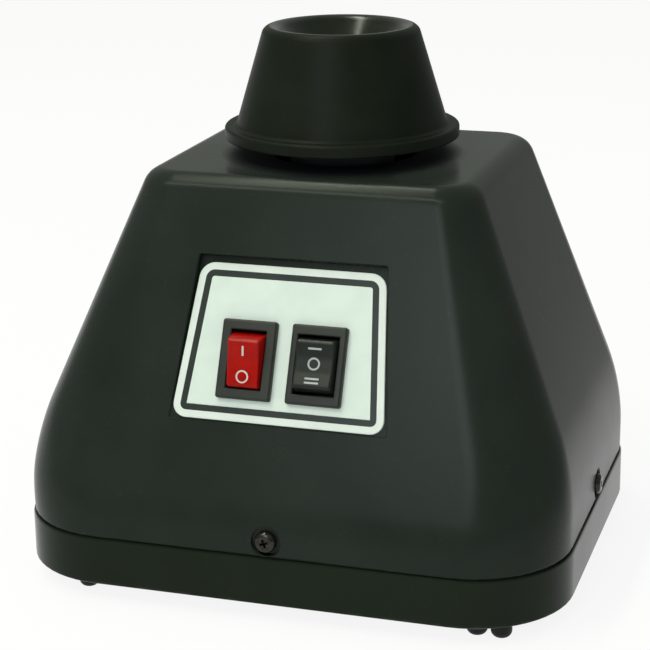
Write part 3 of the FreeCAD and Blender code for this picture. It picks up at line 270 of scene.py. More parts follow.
def printedFinish(name, look):
    # screen print on a plastic plate: a little mottle in the ink and a fine orange peel
    finish, tree, shader, spot = startFinish(name)
    mottle = lumps(tree, spot, printing["mottle"], detail=4.0)
    fine = lumps(tree, spot, printing["peelSize"])
    colour = mixColour(tree, fromNoise(tree, mottle, 0, 1), look["dark"], look["light"])
    rough = fromNoise(tree, mottle, *look["rough"])
    wire(tree, shader, colour, rough, relief(tree, fine, look["peel"]))
    shader.inputs["Specular IOR Level"].default_value = printing["gloss"]
    return finish


labelWhite = printedFinish("labelWhite", {
    "dark": (0.60, 0.66, 0.62), "light": (0.66, 0.71, 0.67), "rough": (0.32, 0.42), "peel": 0.0025})
labelPanel = printedFinish("labelPanel", {
    "dark": (0.58, 0.66, 0.61), "light": (0.63, 0.71, 0.66), "rough": (0.32, 0.42), "peel": 0.0025})
labelInk = printedFinish("labelInk", {
    "dark": (0.011, 0.017, 0.014), "light": (0.016, 0.023, 0.019), "rough": (0.3, 0.4), "peel": 0.0025})
markWhite = printedFinish("markWhite", {
    "dark": (0.50, 0.42, 0.40), "light": (0.60, 0.52, 0.50), "rough": (0.35, 0.45), "peel": 0.002})
markGrey = printedFinish("markGrey", {
    "dark": (0.30, 0.32, 0.32), "light": (0.40, 0.42, 0.42), "rough": (0.35, 0.45), "peel": 0.002})


def redFinish(name, look):
    # glossy red moulding that glows a little where it is thin
    finish, tree, shader, spot = startFinish(name)
    cloud = lumps(tree, spot, look["cloud"], detail=3.0)
    fine = lumps(tree, spot, look["peelSize"])
    colour = mixColour(tree, fromNoise(tree, cloud, 0, 1), look["deep"], look["bright"])
    rough = fromNoise(tree, cloud, *look["rough"])
    wire(tree, shader, colour, rough, relief(tree, fine, look["peel"]))
    shader.inputs["Specular IOR Level"].default_value = look["gloss"]
    shader.inputs["Subsurface Weight"].default_value = look["glow"]
    shader.inputs["Subsurface Radius"].default_value = look["glowReach"]
    shader.inputs["Subsurface Scale"].default_value = look["glowScale"]
    return finish


rockerRed = redFinish("rockerRed", {
    "deep": (0.27, 0.0028, 0.0012), "bright": (0.36, 0.0046, 0.0018), "cloud": 5.0,
    "rough": (0.2, 0.28), "peel": 0.0015, "peelSize": 0.3, "gloss": 0.13,
    "glow": 0.12, "glowReach": (0.004, 0.0004, 0.0003), "glowScale": 0.3})


metalwork = {"stainRange": (0.35, 0.7), "nickSize": 0.7, "nickPeaks": (0.68, 0.76), "nickShare": 0.5}


def metalFinish(name, look):
    # machined or cast metal: fine lines along one direction, stains and tiny nicks
    finish, tree, shader, spot = startFinish(name)
    stain = lumps(tree, spot, look["stain"], detail=4.0)
    lines = lumps(tree, stretchSpot(tree, spot, look["along"]), look["line"], detail=3.0)
    dots = lumps(tree, spot, metalwork["nickSize"], detail=1.0)
    dullness = spread(tree, stain, *metalwork["stainRange"], 0, 1)
    colour = mixColour(tree, dullness, look["bright"], look["dull"])
    nicks = spread(tree, dots, *metalwork["nickPeaks"], 0, metalwork["nickShare"])
    colour = mixColour(tree, nicks, colour, look["dull"])
    rough = fromNoise(tree, stain, *look["rough"])
    wire(tree, shader, colour, rough, relief(tree, lines, look["depth"]))
    shader.inputs["Metallic"].default_value = look["metal"]
    return finish


turnedSteel = metalFinish("turnedSteel", {
    "bright": (0.52, 0.53, 0.54), "dull": (0.36, 0.36, 0.35), "stain": 6.0, "line": 0.4,
    "along": (0.15, 0.15, 3.0), "depth": 0.004, "rough": (0.22, 0.4), "metal": 1.0})
castAluminium = metalFinish("castAluminium", {
    "bright": (0.66, 0.67, 0.68), "dull": (0.48, 0.48, 0.47), "stain": 5.0, "line": 0.6,
    "along": (1.0, 1.0, 1.0), "depth": 0.02, "rough": (0.4, 0.55), "metal": 1.0})
rolledBrass = metalFinish("rolledBrass", {
    "bright": (0.70, 0.50, 0.20), "dull": (0.42, 0.28, 0.11), "stain": 4.0, "line": 0.3,
    "along": (0.2, 1.0, 1.0), "depth": 0.003, "rough": (0.25, 0.4), "metal": 1.0})
woundCopper = metalFinish("woundCopper", {
    "bright": (0.55, 0.22, 0.09), "dull": (0.30, 0.10, 0.04), "stain": 5.0, "line": 0.45,
    "along": (3.0, 0.2, 0.2), "depth": 0.05, "rough": (0.25, 0.35), "metal": 0.8})
blackAnodised = metalFinish("blackAnodised", {
    "bright": (0.030, 0.034, 0.044), "dull": (0.042, 0.047, 0.058), "stain": 7.0, "line": 0.3,
    "along": (0.15, 0.15, 3.0), "depth": 0.003, "rough": (0.35, 0.45), "metal": 0.2})
blackenedScrew = metalFinish("blackenedScrew", {
    "bright": (0.022, 0.021, 0.019), "dull": (0.048, 0.044, 0.036), "stain": 1.4, "line": 0.25,
    "along": (1.0, 1.0, 1.0), "depth": 0.004, "rough": (0.16, 0.26), "metal": 0.85})
slotFinish = {
    "housing_plastic": housingPlastic, "tray_plastic": trayPlastic, "foot_rubber": footRubber,
    "head_rubber": headRubber, "black_screw": blackenedScrew, "label_face": labelWhite,
    "switch_black": blackMoulding, "rocker_red": rockerRed, "steel": turnedSteel,
    "aluminium": castAluminium, "hub_black": blackAnodised, "brass": rolledBrass,
    "copper_wire": woundCopper}
print("finishes ready:", len(bpy.data.materials))


# mesh helpers
carvedWeld, spunWeld = 0.002, 0.0005  # points closer than this are joined
levelFacing = 0.99  # a face whose normal points up this much is level
coarseRound = [(0, 1), (0.3, 0.3), (1, 0)]  # a quarter round in shares of its radius: up, in
fineRound = [(0, 1), (0.08, 0.6), (0.3, 0.3), (0.6, 0.08), (1, 0)]


def turned(degrees, axis):
    return Matrix.Rotation(math.radians(degrees), 4, axis)


def moved(x, y, z=0):
    return Matrix.Translation((x, y, z))


def smoothExceptCorners(bm):
    for face in bm.faces:
        face.smooth = True
    for edge in bm.edges:
        edge.smooth = len(edge.link_faces) == 2 and edge.calc_face_angle(0.0) < sharpAngle


def newObject(name, bm, *finishes):
    bmesh.ops.scale(bm, vec=(mm, mm, mm), verts=bm.verts)
    smoothExceptCorners(bm)
    mesh = bpy.data.meshes.new(name)
    bm.to_mesh(mesh)
    bm.free()
    for finish in finishes:
        mesh.materials.append(finish)
    thing = bpy.data.objects.new(name, mesh)
    scene.collection.objects.link(thing)
    return thing


def settle(piece, body, slot, *replaced):
    # even normals over the flat faces, then the piece joins its body
    normals = piece.modifiers.new("normals", "WEIGHTED_NORMAL")
    normals.keep_sharp = True
    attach(piece, body)
    if replaced:
        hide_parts(*replaced)
    print("piece:", piece.name, len(piece.data.polygons), "faces")


def carve(piece, cutters, joined=()):
    # joined lumps are added first, then the cutters are taken away
    for operation, tools in (("UNION", joined), ("DIFFERENCE", cutters)):
        for tool in tools:
            cut = piece.modifiers.new("cut", "BOOLEAN")
            cut.operation = operation
            cut.object = tool
            cut.solver = "EXACT"
    depsgraph = bpy.context.evaluated_depsgraph_get()
    shaped = bpy.data.meshes.new_from_object(piece.evaluated_get(depsgraph))
    piece.modifiers.clear()
    piece.data = shaped
    for tool in (*joined, *cutters):
        bpy.data.objects.remove(tool)
    bm = bmesh.new()
    bm.from_mesh(shaped)
    bmesh.ops.remove_doubles(bm, verts=bm.verts, dist=carvedWeld * mm)
    smoothExceptCorners(bm)
    bm.to_mesh(shaped)
    bm.free()


def vertsOf(geom):
    return [part for part in geom if isinstance(part, bmesh.types.BMVert)]


def edgesOf(verts):
    return list({edge for vert in verts for edge in vert.link_edges})


def roundOff(bm, geom, radius, steps, affect="VERTICES"):
    bmesh.ops.bevel(bm, geom=geom, offset=radius, offset_type="OFFSET", segments=steps,
                    profile=0.5, affect=affect, material=-1)


def roundedFace(bm, corners, radius, steps):
    # flat face through the corners, each rounded off
    verts = [bm.verts.new(corner) for corner in corners]
    before = set(bm.faces)
    bm.faces.new(verts)
    roundOff(bm, verts, radius, steps)
    return next(face for face in bm.faces if face not in before)


def oblong(halfWidth, front, back, z):
    return [(-halfWidth, front, z), (halfWidth, front, z), (halfWidth, back, z), (-halfWidth, back, z)]


def trapezoid(halfLow, halfHigh, low, high):
    return [(-halfLow, low, 0), (halfLow, low, 0), (halfHigh, high, 0), (-halfHigh, high, 0)]


def openUp(bm, face):
    edges = list(face.edges)
    bmesh.ops.delete(bm, geom=[face], context="FACES_ONLY")
    return edges


def bridgeAll(bm, loops):
    for lower, upper in zip(loops, loops[1:]):
        bmesh.ops.bridge_loops(bm, edges=lower + upper)


def pullOut(bm, face, way):
    # pulls a face out along way and returns the new end
    geom = bmesh.ops.extrude_face_region(bm, geom=[face])["geom"]
    bmesh.ops.translate(bm, vec=way, verts=vertsOf(geom))
    return next(part for part in geom if isinstance(part, bmesh.types.BMFace))


def pushDown(bm, face, depth):
    # moves a face of a solid down, with walls where it leaves the rest
    pullOut(bm, face, (0, 0, -depth))
    bmesh.ops.delete(bm, geom=[face], context="FACES_ONLY")


def insetFace(bm, face, thickness, depth=0.0):
    # draws a smaller face within this one and returns the ring between them
    return bmesh.ops.inset_region(bm, faces=[face], thickness=thickness, depth=depth,
                                  use_even_offset=True)["faces"]


def faceOutward(bm):
    bmesh.ops.recalc_face_normals(bm, faces=bm.faces)


def turnProfile(bm, points, steps, closed=False):
    # points are radius and height, with a rounding and its steps where wanted; spun once round Z
    verts = [bm.verts.new((point[0], 0, point[1])) for point in points]
    following = verts[1:] + verts[:1] if closed else verts[1:]
    for pair in zip(verts, following):
        bm.edges.new(pair)
    for vert, point in zip(verts, points):
        if len(point) > 2:
            roundOff(bm, [vert], *point[2:])
    bmesh.ops.spin(bm, geom=bm.verts[:] + bm.edges[:], cent=(0, 0, 0), axis=(0, 0, 1), angle=math.tau,
                   steps=steps, use_merge=True, use_duplicate=False)
    bmesh.ops.remove_doubles(bm, verts=bm.verts, dist=spunWeld)
    faceOutward(bm)


def place(bm, matrix):
    bmesh.ops.transform(bm, matrix=matrix, verts=bm.verts)


def repeat(bm, places):
    # one copy of the whole mesh at each place
    whole = bm.verts[:] + bm.edges[:] + bm.faces[:]
    copies = [bmesh.ops.duplicate(bm, geom=whole)["geom"] for other in places[1:]]
    for geom, matrix in zip([whole] + copies, places):
        bmesh.ops.transform(bm, matrix=matrix, verts=vertsOf(geom))


def roundTool(radius, low, high, matrix, steps=48):
    # plain round bar along its own Z, from low to high
    bm = bmesh.new()
    turnProfile(bm, [(0, low), (radius, low), (radius, high), (0, high)], steps)
    place(bm, matrix)
    return newObject("tool", bm)


def boxTool(size, matrix):
    bm = bmesh.new()
    bmesh.ops.create_cube(bm, size=1.0, matrix=matrix @ Matrix.Diagonal((*size, 1)))
    return newObject("tool", bm)


# the label's frame: X across, Y up the slope, Z out of the face
slope = {"y": -44.329, "z": 69.8, "lean": 24.0713, "switchX": 9.6, "switchDrop": 4.5}
panelPlace = moved(0, slope["y"], slope["z"]) @ turned(90 - slope["lean"], "X")
powerPlace = panelPlace @ moved(-slope["switchX"], -slope["switchDrop"])
speedPlace = panelPlace @ moved(slope["switchX"], -slope["switchDrop"])
switchCase = {"width": 13.0, "height": 19.0, "play": 0.15}


def switchOpenings(depth):
    width, height = (switchCase[key] + 2 * switchCase["play"] for key in ("width", "height"))
    return [boxTool((width, height, depth), spot) for spot in (powerPlace, speedPlace)]


# upper housing
housing = {
    "halfWidth": 75.5, "halfDepth": 63.5, "corner": 27.0, "bottom": 18.1, "top": 110.9,
    "halfTop": 45.9, "frontTop": 29.5, "backTop": 49.9, "topCorner": 10.3, "edgeRound": 6.0,
    "sideKnee": (38.0, 60.0), "frontKnee": (24.9, 40.0), "backKnee": (21.1, 40.0), "wall": 3.0,
    "lipRound": 0.75, "neckRadius": 20.5, "neckY": 10.0, "neckRound": 0.6, "cornerSteps": 11,
    "kneeStart": 1.2, "kneeStep": 1.55, "kneeRings": 21, "slopeRings": (58, 68, 78, 88, 97),
    "edgeSteps": 10, "switchCut": 16.0}
recess = {"halfLow": 29.83, "halfHigh": 25.93, "low": -21.1, "high": 22.7, "corner": 0.6, "steps": 5,
          "edge": 0.28, "lip": 0.43, "tilt": 2.5, "reach": 12.0, "edgeReach": 1.0}
sink = {"radius": 4.0, "depth": 1.2, "flare": 0.45, "hole": 1.9, "z": 22.5, "through": 8.0,
        "clear": 3.0, "steps": 64}
inlet = {"x": -45.0, "y": 61.91, "z": 31.6, "lean": 8.612, "hole": 5.0, "reach": 8.0}
screwPlaces = [
    moved(0, -housing["halfDepth"], sink["z"]) @ turned(90, "X"),
    moved(0, housing["halfDepth"], sink["z"]) @ turned(-90, "X"),
    moved(housing["halfWidth"], 0, sink["z"]) @ turned(90, "Y"),
    moved(-housing["halfWidth"], 0, sink["z"]) @ turned(-90, "Y")]
inletPlace = moved(inlet["x"], inlet["y"], inlet["z"]) @ turned(inlet["lean"] - 90, "X")


def wallReach(z, skirt, crest, knee):
    # how far a wall stands from the middle at height z: skirt, knee bend, slope, rounded top edge
    kneeZ, bend = knee
    top, edge = housing["top"], housing["edgeRound"]
    lean = math.atan2(skirt - crest, top - kneeZ)
    bendLow = kneeZ - bend * math.tan(lean / 2)
    bendHigh = kneeZ + bend * math.tan(lean / 2) * math.cos(lean)
    if z <= bendLow:
        return skirt
    if z < bendHigh:
        return skirt - bend + math.sqrt(bend ** 2 - (z - bendLow) ** 2)
    if z <= top - edge + edge * math.sin(lean):
        return skirt - (z - kneeZ) * math.tan(lean)
    edgeMiddle = crest - edge * math.tan(math.pi / 4 - lean / 2)
    return edgeMiddle + math.sqrt(max(edge ** 2 - (z - top + edge) ** 2, 0))


def housingLoop(bm, z, inset):
    top, edge = housing["top"], housing["edgeRound"]
    side = wallReach(z, housing["halfWidth"], housing["halfTop"], housing["sideKnee"]) - inset
    front = wallReach(z, housing["halfDepth"], housing["frontTop"], housing["frontKnee"]) - inset
    back = wallReach(z, housing["halfDepth"], housing["backTop"], housing["backKnee"]) - inset
    share = (z - housing["bottom"]) / (top - housing["bottom"])
    corner = housing["corner"] * (1 - share) + housing["topCorner"] * share - inset
    if z > top - edge:
        # the corners get tighter by as much as the rounded edge draws in
        lean = math.atan2(housing["halfWidth"] - housing["halfTop"], top - housing["sideKnee"][0])
        corner -= max(housing["halfTop"] + (top - z) * math.tan(lean) - side - inset, 0)
    return openUp(bm, roundedFace(bm, oblong(side, -front, back, z), corner, housing["cornerSteps"]))


def makeHousing():
    bm = bmesh.new()
    bottom, top, edge, lip = (housing[key] for key in ("bottom", "top", "edgeRound", "lipRound"))
    kneeStart, kneeStep, edgeSteps = (housing[key] for key in ("kneeStart", "kneeStep", "edgeSteps"))
    rings = [(bottom + up * lip, inward * lip) for up, inward in coarseRound]
    rings += [(bottom + kneeStart + kneeStep * step, 0) for step in range(housing["kneeRings"])]
    rings += [(z, 0) for z in housing["slopeRings"]]
    rings += [(top - edge + edge * math.sin(math.radians(90 * step / edgeSteps)), 0)
              for step in range(edgeSteps + 1)]
    loops = [housingLoop(bm, z, inset) for z, inset in rings]
    ringCount = len(loops[0])
    roll = housing["neckRound"]
    for down, outward in coarseRound:
        circle = bmesh.ops.create_circle(
            bm, cap_ends=False, segments=ringCount, radius=housing["neckRadius"] + outward * roll,
            matrix=moved(0, housing["neckY"], top - down * roll))["verts"]
        loops.append(edgesOf(circle))
    bridgeAll(bm, loops)
    faceOutward(bm)
    shell = newObject("housingShell", bm, housingPlastic)
    thick = shell.modifiers.new("wall", "SOLIDIFY")
    thick.thickness = housing["wall"] * mm
    thick.offset = -1
    thick.use_even_offset = True
    return shell


def recessOutline(bm, grow):
    corners = trapezoid(recess["halfLow"] + grow, recess["halfHigh"] + grow,
                        recess["low"] - grow, recess["high"] + grow)
    return roundedFace(bm, corners, recess["corner"] + grow, recess["steps"])


def recessTools():
    bm = bmesh.new()
    pullOut(bm, recessOutline(bm, 0), (0, 0, recess["reach"]))
    faceOutward(bm)
    place(bm, panelPlace)
    hollow = newObject("tool", bm)
    # a slim chamfer follows the housing's own slope round the mouth
    bm = bmesh.new()
    rise = math.tan(math.radians(recess["tilt"]))
    inner = recessOutline(bm, 0)
    outer = recessOutline(bm, recess["edge"] + recess["edgeReach"])
    for face, lift in ((inner, -recess["edge"]), (outer, recess["edgeReach"])):
        for vert in face.verts:
            vert.co.z = recess["lip"] + (vert.co.y - recess["low"]) * rise + lift
    bridgeAll(bm, [list(inner.edges), list(outer.edges)])
    faceOutward(bm)
    place(bm, panelPlace)
    return [hollow, newObject("tool", bm)]


def screwSink(matrix):
    bm = bmesh.new()
    radius, hole, clear = sink["radius"], sink["hole"], sink["clear"]
    turnProfile(bm, [(0, -sink["through"]), (hole, -sink["through"]), (hole, -sink["depth"]),
                     (radius, -sink["depth"]), (radius, -sink["flare"]),
                     (radius + sink["flare"] + clear, clear), (0, clear)], sink["steps"])
    place(bm, matrix)
    return newObject("tool", bm)


shell = makeHousing()
inletBar = roundTool(inlet["hole"], -inlet["reach"], inlet["reach"], inletPlace)
carve(shell, recessTools() + switchOpenings(housing["switchCut"])
      + [screwSink(spot) for spot in screwPlaces] + [inletBar])
settle(shell, "base", "housing_plastic", "upper_housing")


# base tray
tray = {
    "halfWidth": 76.0, "halfDepth": 64.0, "corner": 27.5, "steps": 14, "low": 4.9, "floor": 7.9,
    "seam": 18.1, "wall": 3.0, "lipOut": 3.9, "lipIn": 5.4, "lipTop": 21.1, "edge": 0.6, "seamEdge": 0.75,
    "footHole": 2.0, "mountHole": 2.2, "drill": (0, 12),
    "slip": 0.01}  # level rings sit a hair apart in height, so that the bridge joins them straight
screwBlock = {"width": 12.0, "depth": 7.5, "reachX": 67.45, "reachY": 55.45, "top": 24.7, "hole": 1.6,
              "sunk": 1.0, "drill": (-20, 1)}
footSpots = [(-54.4, -54.7), (54.4, -54.7), (54.4, 54.7), (-54.4, 54.7)]
stuckSpot = (60.8, -54.7)
mountSpots = [(-30, -20), (30, -20), (30, 40), (-30, 40)]


def makeTray():
    bm = bmesh.new()
    low, floor, seam, wall = tray["low"], tray["floor"], tray["seam"], tray["wall"]
    lipOut, lipIn, lipTop, slip = tray["lipOut"], tray["lipIn"], tray["lipTop"], tray["slip"]
    rings = [(low + up * tray["edge"], inward * tray["edge"]) for up, inward in fineRound]
    rings += [(seam - down * tray["seamEdge"], inward * tray["seamEdge"])
              for down, inward in reversed(coarseRound)]
    rings += [(seam - slip, wall), (floor, wall), (floor - slip, lipOut), (lipTop, lipOut),
              (lipTop - slip, lipIn), (floor, lipIn)]
    faces = []
    for z, inset in rings:
        side, end = tray["halfWidth"] - inset, tray["halfDepth"] - inset
        faces.append(roundedFace(bm, oblong(side, -end, end, z), tray["corner"] - inset, tray["steps"]))
    ends = (faces[0], faces[-1])
    bridgeAll(bm, [list(face.edges) if face in ends else openUp(bm, face) for face in faces])
    faceOutward(bm)
    return newObject("trayShell", bm, trayPlastic)


def screwBlocks():
    # four posts on the floor that take the skirt screws, sunk a little so that they join
    low = tray["floor"] - screwBlock["sunk"]
    blocks = []
    for x, y, wide, deep in ((0, -1, "width", "depth"), (0, 1, "width", "depth"),
                             (1, 0, "depth", "width"), (-1, 0, "depth", "width")):
        middle = (x * screwBlock["reachX"], y * screwBlock["reachY"], (low + screwBlock["top"]) / 2)
        size = (screwBlock[wide], screwBlock[deep], screwBlock["top"] - low)
        blocks.append(boxTool(size, moved(*middle)))
    return blocks


bottom = makeTray()
trayHoles = [roundTool(tray["footHole"], *tray["drill"], moved(*spot)) for spot in footSpots]
trayHoles += [roundTool(tray["mountHole"], *tray["drill"], moved(*spot)) for spot in mountSpots]
trayHoles += [roundTool(screwBlock["hole"], *screwBlock["drill"], spot) for spot in screwPlaces]
carve(bottom, trayHoles, screwBlocks())
settle(bottom, "base", "tray_plastic", "base_tray")


# rubber feet pushed into the tray; roundings are a radius and its steps, here and below
foot = {
    "radius": 2.8, "height": 4.9, "stem": 2.0, "floor": 3.0, "head": 2.3, "headHeight": 2.5, "steps": 40,
    "treadRound": (1.9, 8), "shoulderRound": (0.3, 3), "barbRound": (0.15, 2), "tipRound": (0.3, 3)}
bm = bmesh.new()
barb = foot["height"] + foot["floor"]
tip = barb + foot["headHeight"]
bumper = [(0, 0), (foot["radius"], 0, *foot["treadRound"]),
          (foot["radius"], foot["height"], *foot["shoulderRound"])]
stem = [(foot["stem"], foot["height"]), (foot["stem"], barb), (foot["head"], barb, *foot["barbRound"]),
        (foot["stem"], tip, *foot["tipRound"]), (0, tip)]
turnProfile(bm, bumper + stem, foot["steps"])
repeat(bm, [moved(*spot) for spot in footSpots])
settle(newObject("bumperFeet", bm, footRubber), "base", "foot_rubber", "rubber_feet")
# a fifth bumper is only stuck on beside the right front foot
bm = bmesh.new()
turnProfile(bm, bumper + [(0, foot["height"])], foot["steps"])
place(bm, moved(*stuckSpot))
settle(newObject("stuckFoot", bm, footRubber), "base", "foot_rubber")


# cross-recess screws round the skirt
screw = {
    "head": 2.9, "height": 2.4, "shank": 1.6, "length": 9.6, "slot": 3.3, "slotWidth": 0.85,
    "slotDepth": 1.3, "slotTaper": (0.45, 0.6, 1), "turns": (20, 65, 35, 80), "steps": 48,
    "domeRound": (1.3, 7), "seatRound": (0.2, 2), "tipRound": (0.4, 2)}


def makeScrews():
    bm = bmesh.new()
    head, shank, length = screw["head"], screw["shank"], screw["length"]
    turnProfile(bm, [(0, screw["height"]), (head, screw["height"], *screw["domeRound"]),
                     (head, 0, *screw["seatRound"]), (shank, 0), (shank, -length, *screw["tipRound"]),
                     (0, -length)], screw["steps"])
    screws = newObject("skirtScrews", bm, blackenedScrew)
    arms = []
    for quarter in (0, 90):
        bm = bmesh.new()
        verts = bmesh.ops.create_cube(bm, size=1.0, matrix=Matrix.Diagonal(
            (screw["slot"], screw["slotWidth"], 2 * screw["slotDepth"], 1)))["verts"]
        bmesh.ops.scale(bm, vec=screw["slotTaper"], verts=[vert for vert in verts if vert.co.z < 0])
        place(bm, moved(0, 0, screw["height"]) @ turned(quarter, "Z"))
        arms.append(newObject("tool", bm))
    carve(screws, arms)
    # the finished screw is in metres by now, and so are its four places
    bm = bmesh.new()
    bm.from_mesh(screws.data)
    seat = moved(0, 0, -sink["depth"] * mm)
    repeat(bm, [Matrix.Translation(spot.translation * mm) @ spot.to_3x3().to_4x4() @ seat @ turned(angle, "Z")
                for spot, angle in zip(screwPlaces, screw["turns"])])
    bm.to_mesh(screws.data)
    bm.free()
    return screws


settle(makeScrews(), "base", "black_screw", "housing_screws")


# cord grommet in the back wall
grommet = {
    "bore": 3.4, "flange": 6.5, "groove": 5.0, "edge": 1.4, "wall": 3.0, "start": -4.366, "steps": 64,
    "innerBoreRound": (0.4, 3), "innerFaceRound": (0.5, 4), "innerLipRound": (0.3, 3),
    "outerBoreRound": (0.5, 4), "outerFaceRound": (0.8, 5), "outerLipRound": (0.2, 3)}
bm = bmesh.new()
bore, flange, groove, near = (grommet[key] for key in ("bore", "flange", "groove", "edge"))
far = near + grommet["wall"]
end = grommet["wall"] + 2 * near
turnProfile(bm, [(bore, 0, *grommet["innerBoreRound"]), (flange, 0, *grommet["innerFaceRound"]),
                 (flange, near, *grommet["innerLipRound"]), (groove, near), (groove, far),
                 (flange, far, *grommet["outerLipRound"]), (flange, end, *grommet["outerFaceRound"]),
                 (bore, end, *grommet["outerBoreRound"])], grommet["steps"], closed=True)
place(bm, inletPlace @ moved(0, 0, grommet["start"]))
settle(newObject("inletGrommet", bm, footRubber), "base", "foot_rubber", "cord_grommet")


# printed face plate: white border, dark line, pale middle
plate = {"halfLow": 29.2, "halfHigh": 25.5, "half": 20.8, "corner": 4.0, "steps": 9, "thick": 0.8,
         "edge": 0.15, "border": 1.95, "line": 1.75, "switchCut": 6.0}
bm = bmesh.new()
outline = roundedFace(bm, trapezoid(plate["halfLow"], plate["halfHigh"], -plate["half"], plate["half"]),
                      plate["corner"], plate["steps"])
face = pullOut(bm, outline, (0, 0, plate["thick"] - plate["edge"]))
faceOutward(bm)
insetFace(bm, face, plate["edge"], plate["edge"])
insetFace(bm, face, plate["border"] - plate["edge"])
for ring in insetFace(bm, face, plate["line"]):
    ring.material_index = 1
face.material_index = 2
place(bm, panelPlace)
facePlate = newObject("facePlate", bm, labelWhite, labelInk, labelPanel)
carve(facePlate, switchOpenings(plate["switchCut"]))
settle(facePlate, "base", "label_face", "label_plate")


# switch frames: bezel, hollow case and the pivot holes
bezel = {"width": 15.0, "height": 21.0, "back": 0.8, "front": 2.6, "round": (0.7, 4), "case": 14.0,
         "floor": 3.0, "openLength": 15.6, "lip": 0.25, "pivotZ": -0.4, "pivotHole": 1.25,
         "pivotReach": 0.7, "pivotSteps": 24, "mouthInset": 1.0}
# bars are width, height and how far up the key, rings are outer and inner radius and how far up
powerSwitch = {"place": powerPlace, "open": 9.7, "faceSlope": 4, "swing": 15,
               "bars": [(0.52, 2.6, 3.4)], "rings": [(1.72, 1.30, -3.4)]}
speedSwitch = {"place": speedPlace, "open": 11.3, "faceSlope": 11, "swing": 0,
               "bars": [(3.6, 0.5, 4.1), (3.8, 0.5, -3.7), (3.8, 0.5, -4.8)], "rings": [(1.68, 1.2, 0.2)]}


def makeSwitchFrame(name, switch):
    bm = bmesh.new()
    back, thick, lip = bezel["back"], bezel["front"] - bezel["back"], bezel["lip"]
    bmesh.ops.create_cube(bm, size=1.0, matrix=moved(0, 0, back + thick / 2)
                          @ Matrix.Diagonal((bezel["width"], bezel["height"], thick, 1)))
    under = min(bm.faces, key=lambda face: face.calc_center_median().z)
    insetFace(bm, under, (bezel["width"] - switchCase["width"]) / 2)
    pushDown(bm, under, bezel["case"])
    # the bezel's four uprights and its top rim are rounded, the case below stays square
    top = max(bm.faces, key=lambda face: face.calc_center_median().z)
    upright = [edge for edge in bm.edges
               if abs(edge.verts[0].co.z - edge.verts[1].co.z) > thick / 2
               and sum(vert.co.z for vert in edge.verts) > 2 * back]
    roundOff(bm, upright + list(top.edges), *bezel["round"], affect="EDGES")
    # the mouth is drawn in the flat top, stretched to its size and sunk to the floor of the case
    top = max((face for face in bm.faces if face.normal.z > levelFacing), key=lambda face: face.calc_area())
    insetFace(bm, top, bezel["mouthInset"])
    wide, long = (max(vert.co[axis] for vert in top.verts) - min(vert.co[axis] for vert in top.verts)
                  for axis in (0, 1))
    stretch = ((switch["open"] + 2 * lip) / wide, (bezel["openLength"] + 2 * lip) / long, 1)
    bmesh.ops.scale(bm, vec=stretch, verts=top.verts)
    insetFace(bm, top, lip, -lip)
    pushDown(bm, top, bezel["front"] - lip - (back - bezel["case"] + bezel["floor"]))
    faceOutward(bm)
    place(bm, switch["place"])
    frameBody = newObject(name, bm, switchBlack)
    reach = switch["open"] / 2 + bezel["pivotReach"]
    axle = switch["place"] @ moved(0, 0, bezel["pivotZ"]) @ turned(90, "Y")
    carve(frameBody, [roundTool(bezel["pivotHole"], -reach, reach, axle, bezel["pivotSteps"])])
    return frameBody


settle(makeSwitchFrame("powerFrame", powerSwitch), "base", "switch_black", "power_switch_body")
settle(makeSwitchFrame("speedFrame", speedSwitch), "base", "switch_black", "speed_switch_body")


# rockers, drawn about their own pivot: X along it, Y up the label
rocker = {
    "end": 7.1, "tip": 6.2, "tipHeight": 5.6, "shoulder": 2.0, "skirt": -2.4, "side": 0.15, "draft": 0.11,
    "tipRound": (0.9, 5), "valleyRound": (2.6, 6), "shoulderRound": (0.8, 4), "rimRound": (0.55, 4),
    "rimAngle": 1.0, "pivot": 1.2, "pivotReach": 0.65, "pivotSteps": 24}
markLift = {"above": 0.03, "thick": 0.05, "dropFrom": 20}


def rockerMesh(switch):
    bm = bmesh.new()
    end, tip, shoulder = rocker["end"], rocker["tip"], rocker["shoulder"]
    valley = rocker["tipHeight"] - tip * math.tan(math.radians(switch["faceSlope"]))
    half = switch["open"] / 2 - rocker["side"]
    skirtLine = [(-end, rocker["skirt"]), (end, rocker["skirt"])]
    faceLine = [(end, shoulder), (tip, rocker["tipHeight"]), (0, valley), (-tip, rocker["tipHeight"]),
                (-end, shoulder)]
    verts = [bm.verts.new((-half, y, z)) for y, z in skirtLine + faceLine]
    bm.faces.new(verts)
    upperShoulder, upperTip, middle, lowerTip, lowerShoulder = verts[len(skirtLine):]
    for corner, rounding in ((upperTip, "tipRound"), (lowerTip, "tipRound"), (middle, "valleyRound"),
                             (upperShoulder, "shoulderRound"), (lowerShoulder, "shoulderRound")):
        roundOff(bm, [corner], *rocker[rounding])
    pullOut(bm, next(iter(bm.faces)), (2 * half, 0, 0))
    faceOutward(bm)
    bmesh.ops.bisect_plane(bm, geom=bm.verts[:] + bm.edges[:] + bm.faces[:],
                           plane_co=(0, 0, shoulder), plane_no=(0, 0, 1))
    for vert in bm.verts:
        # the flanks lean in above the shoulder
        vert.co.x *= 1 - rocker["draft"] * max(vert.co.z - shoulder, 0) / half
    rim = [edge for edge in bm.edges if edge.verts[0].co.x * edge.verts[1].co.x > 0
           and min(vert.co.z for vert in edge.verts) > 0 and edge.calc_face_angle(0) > rocker["rimAngle"]]
    roundOff(bm, rim, *rocker["rimRound"], affect="EDGES")
    return bm


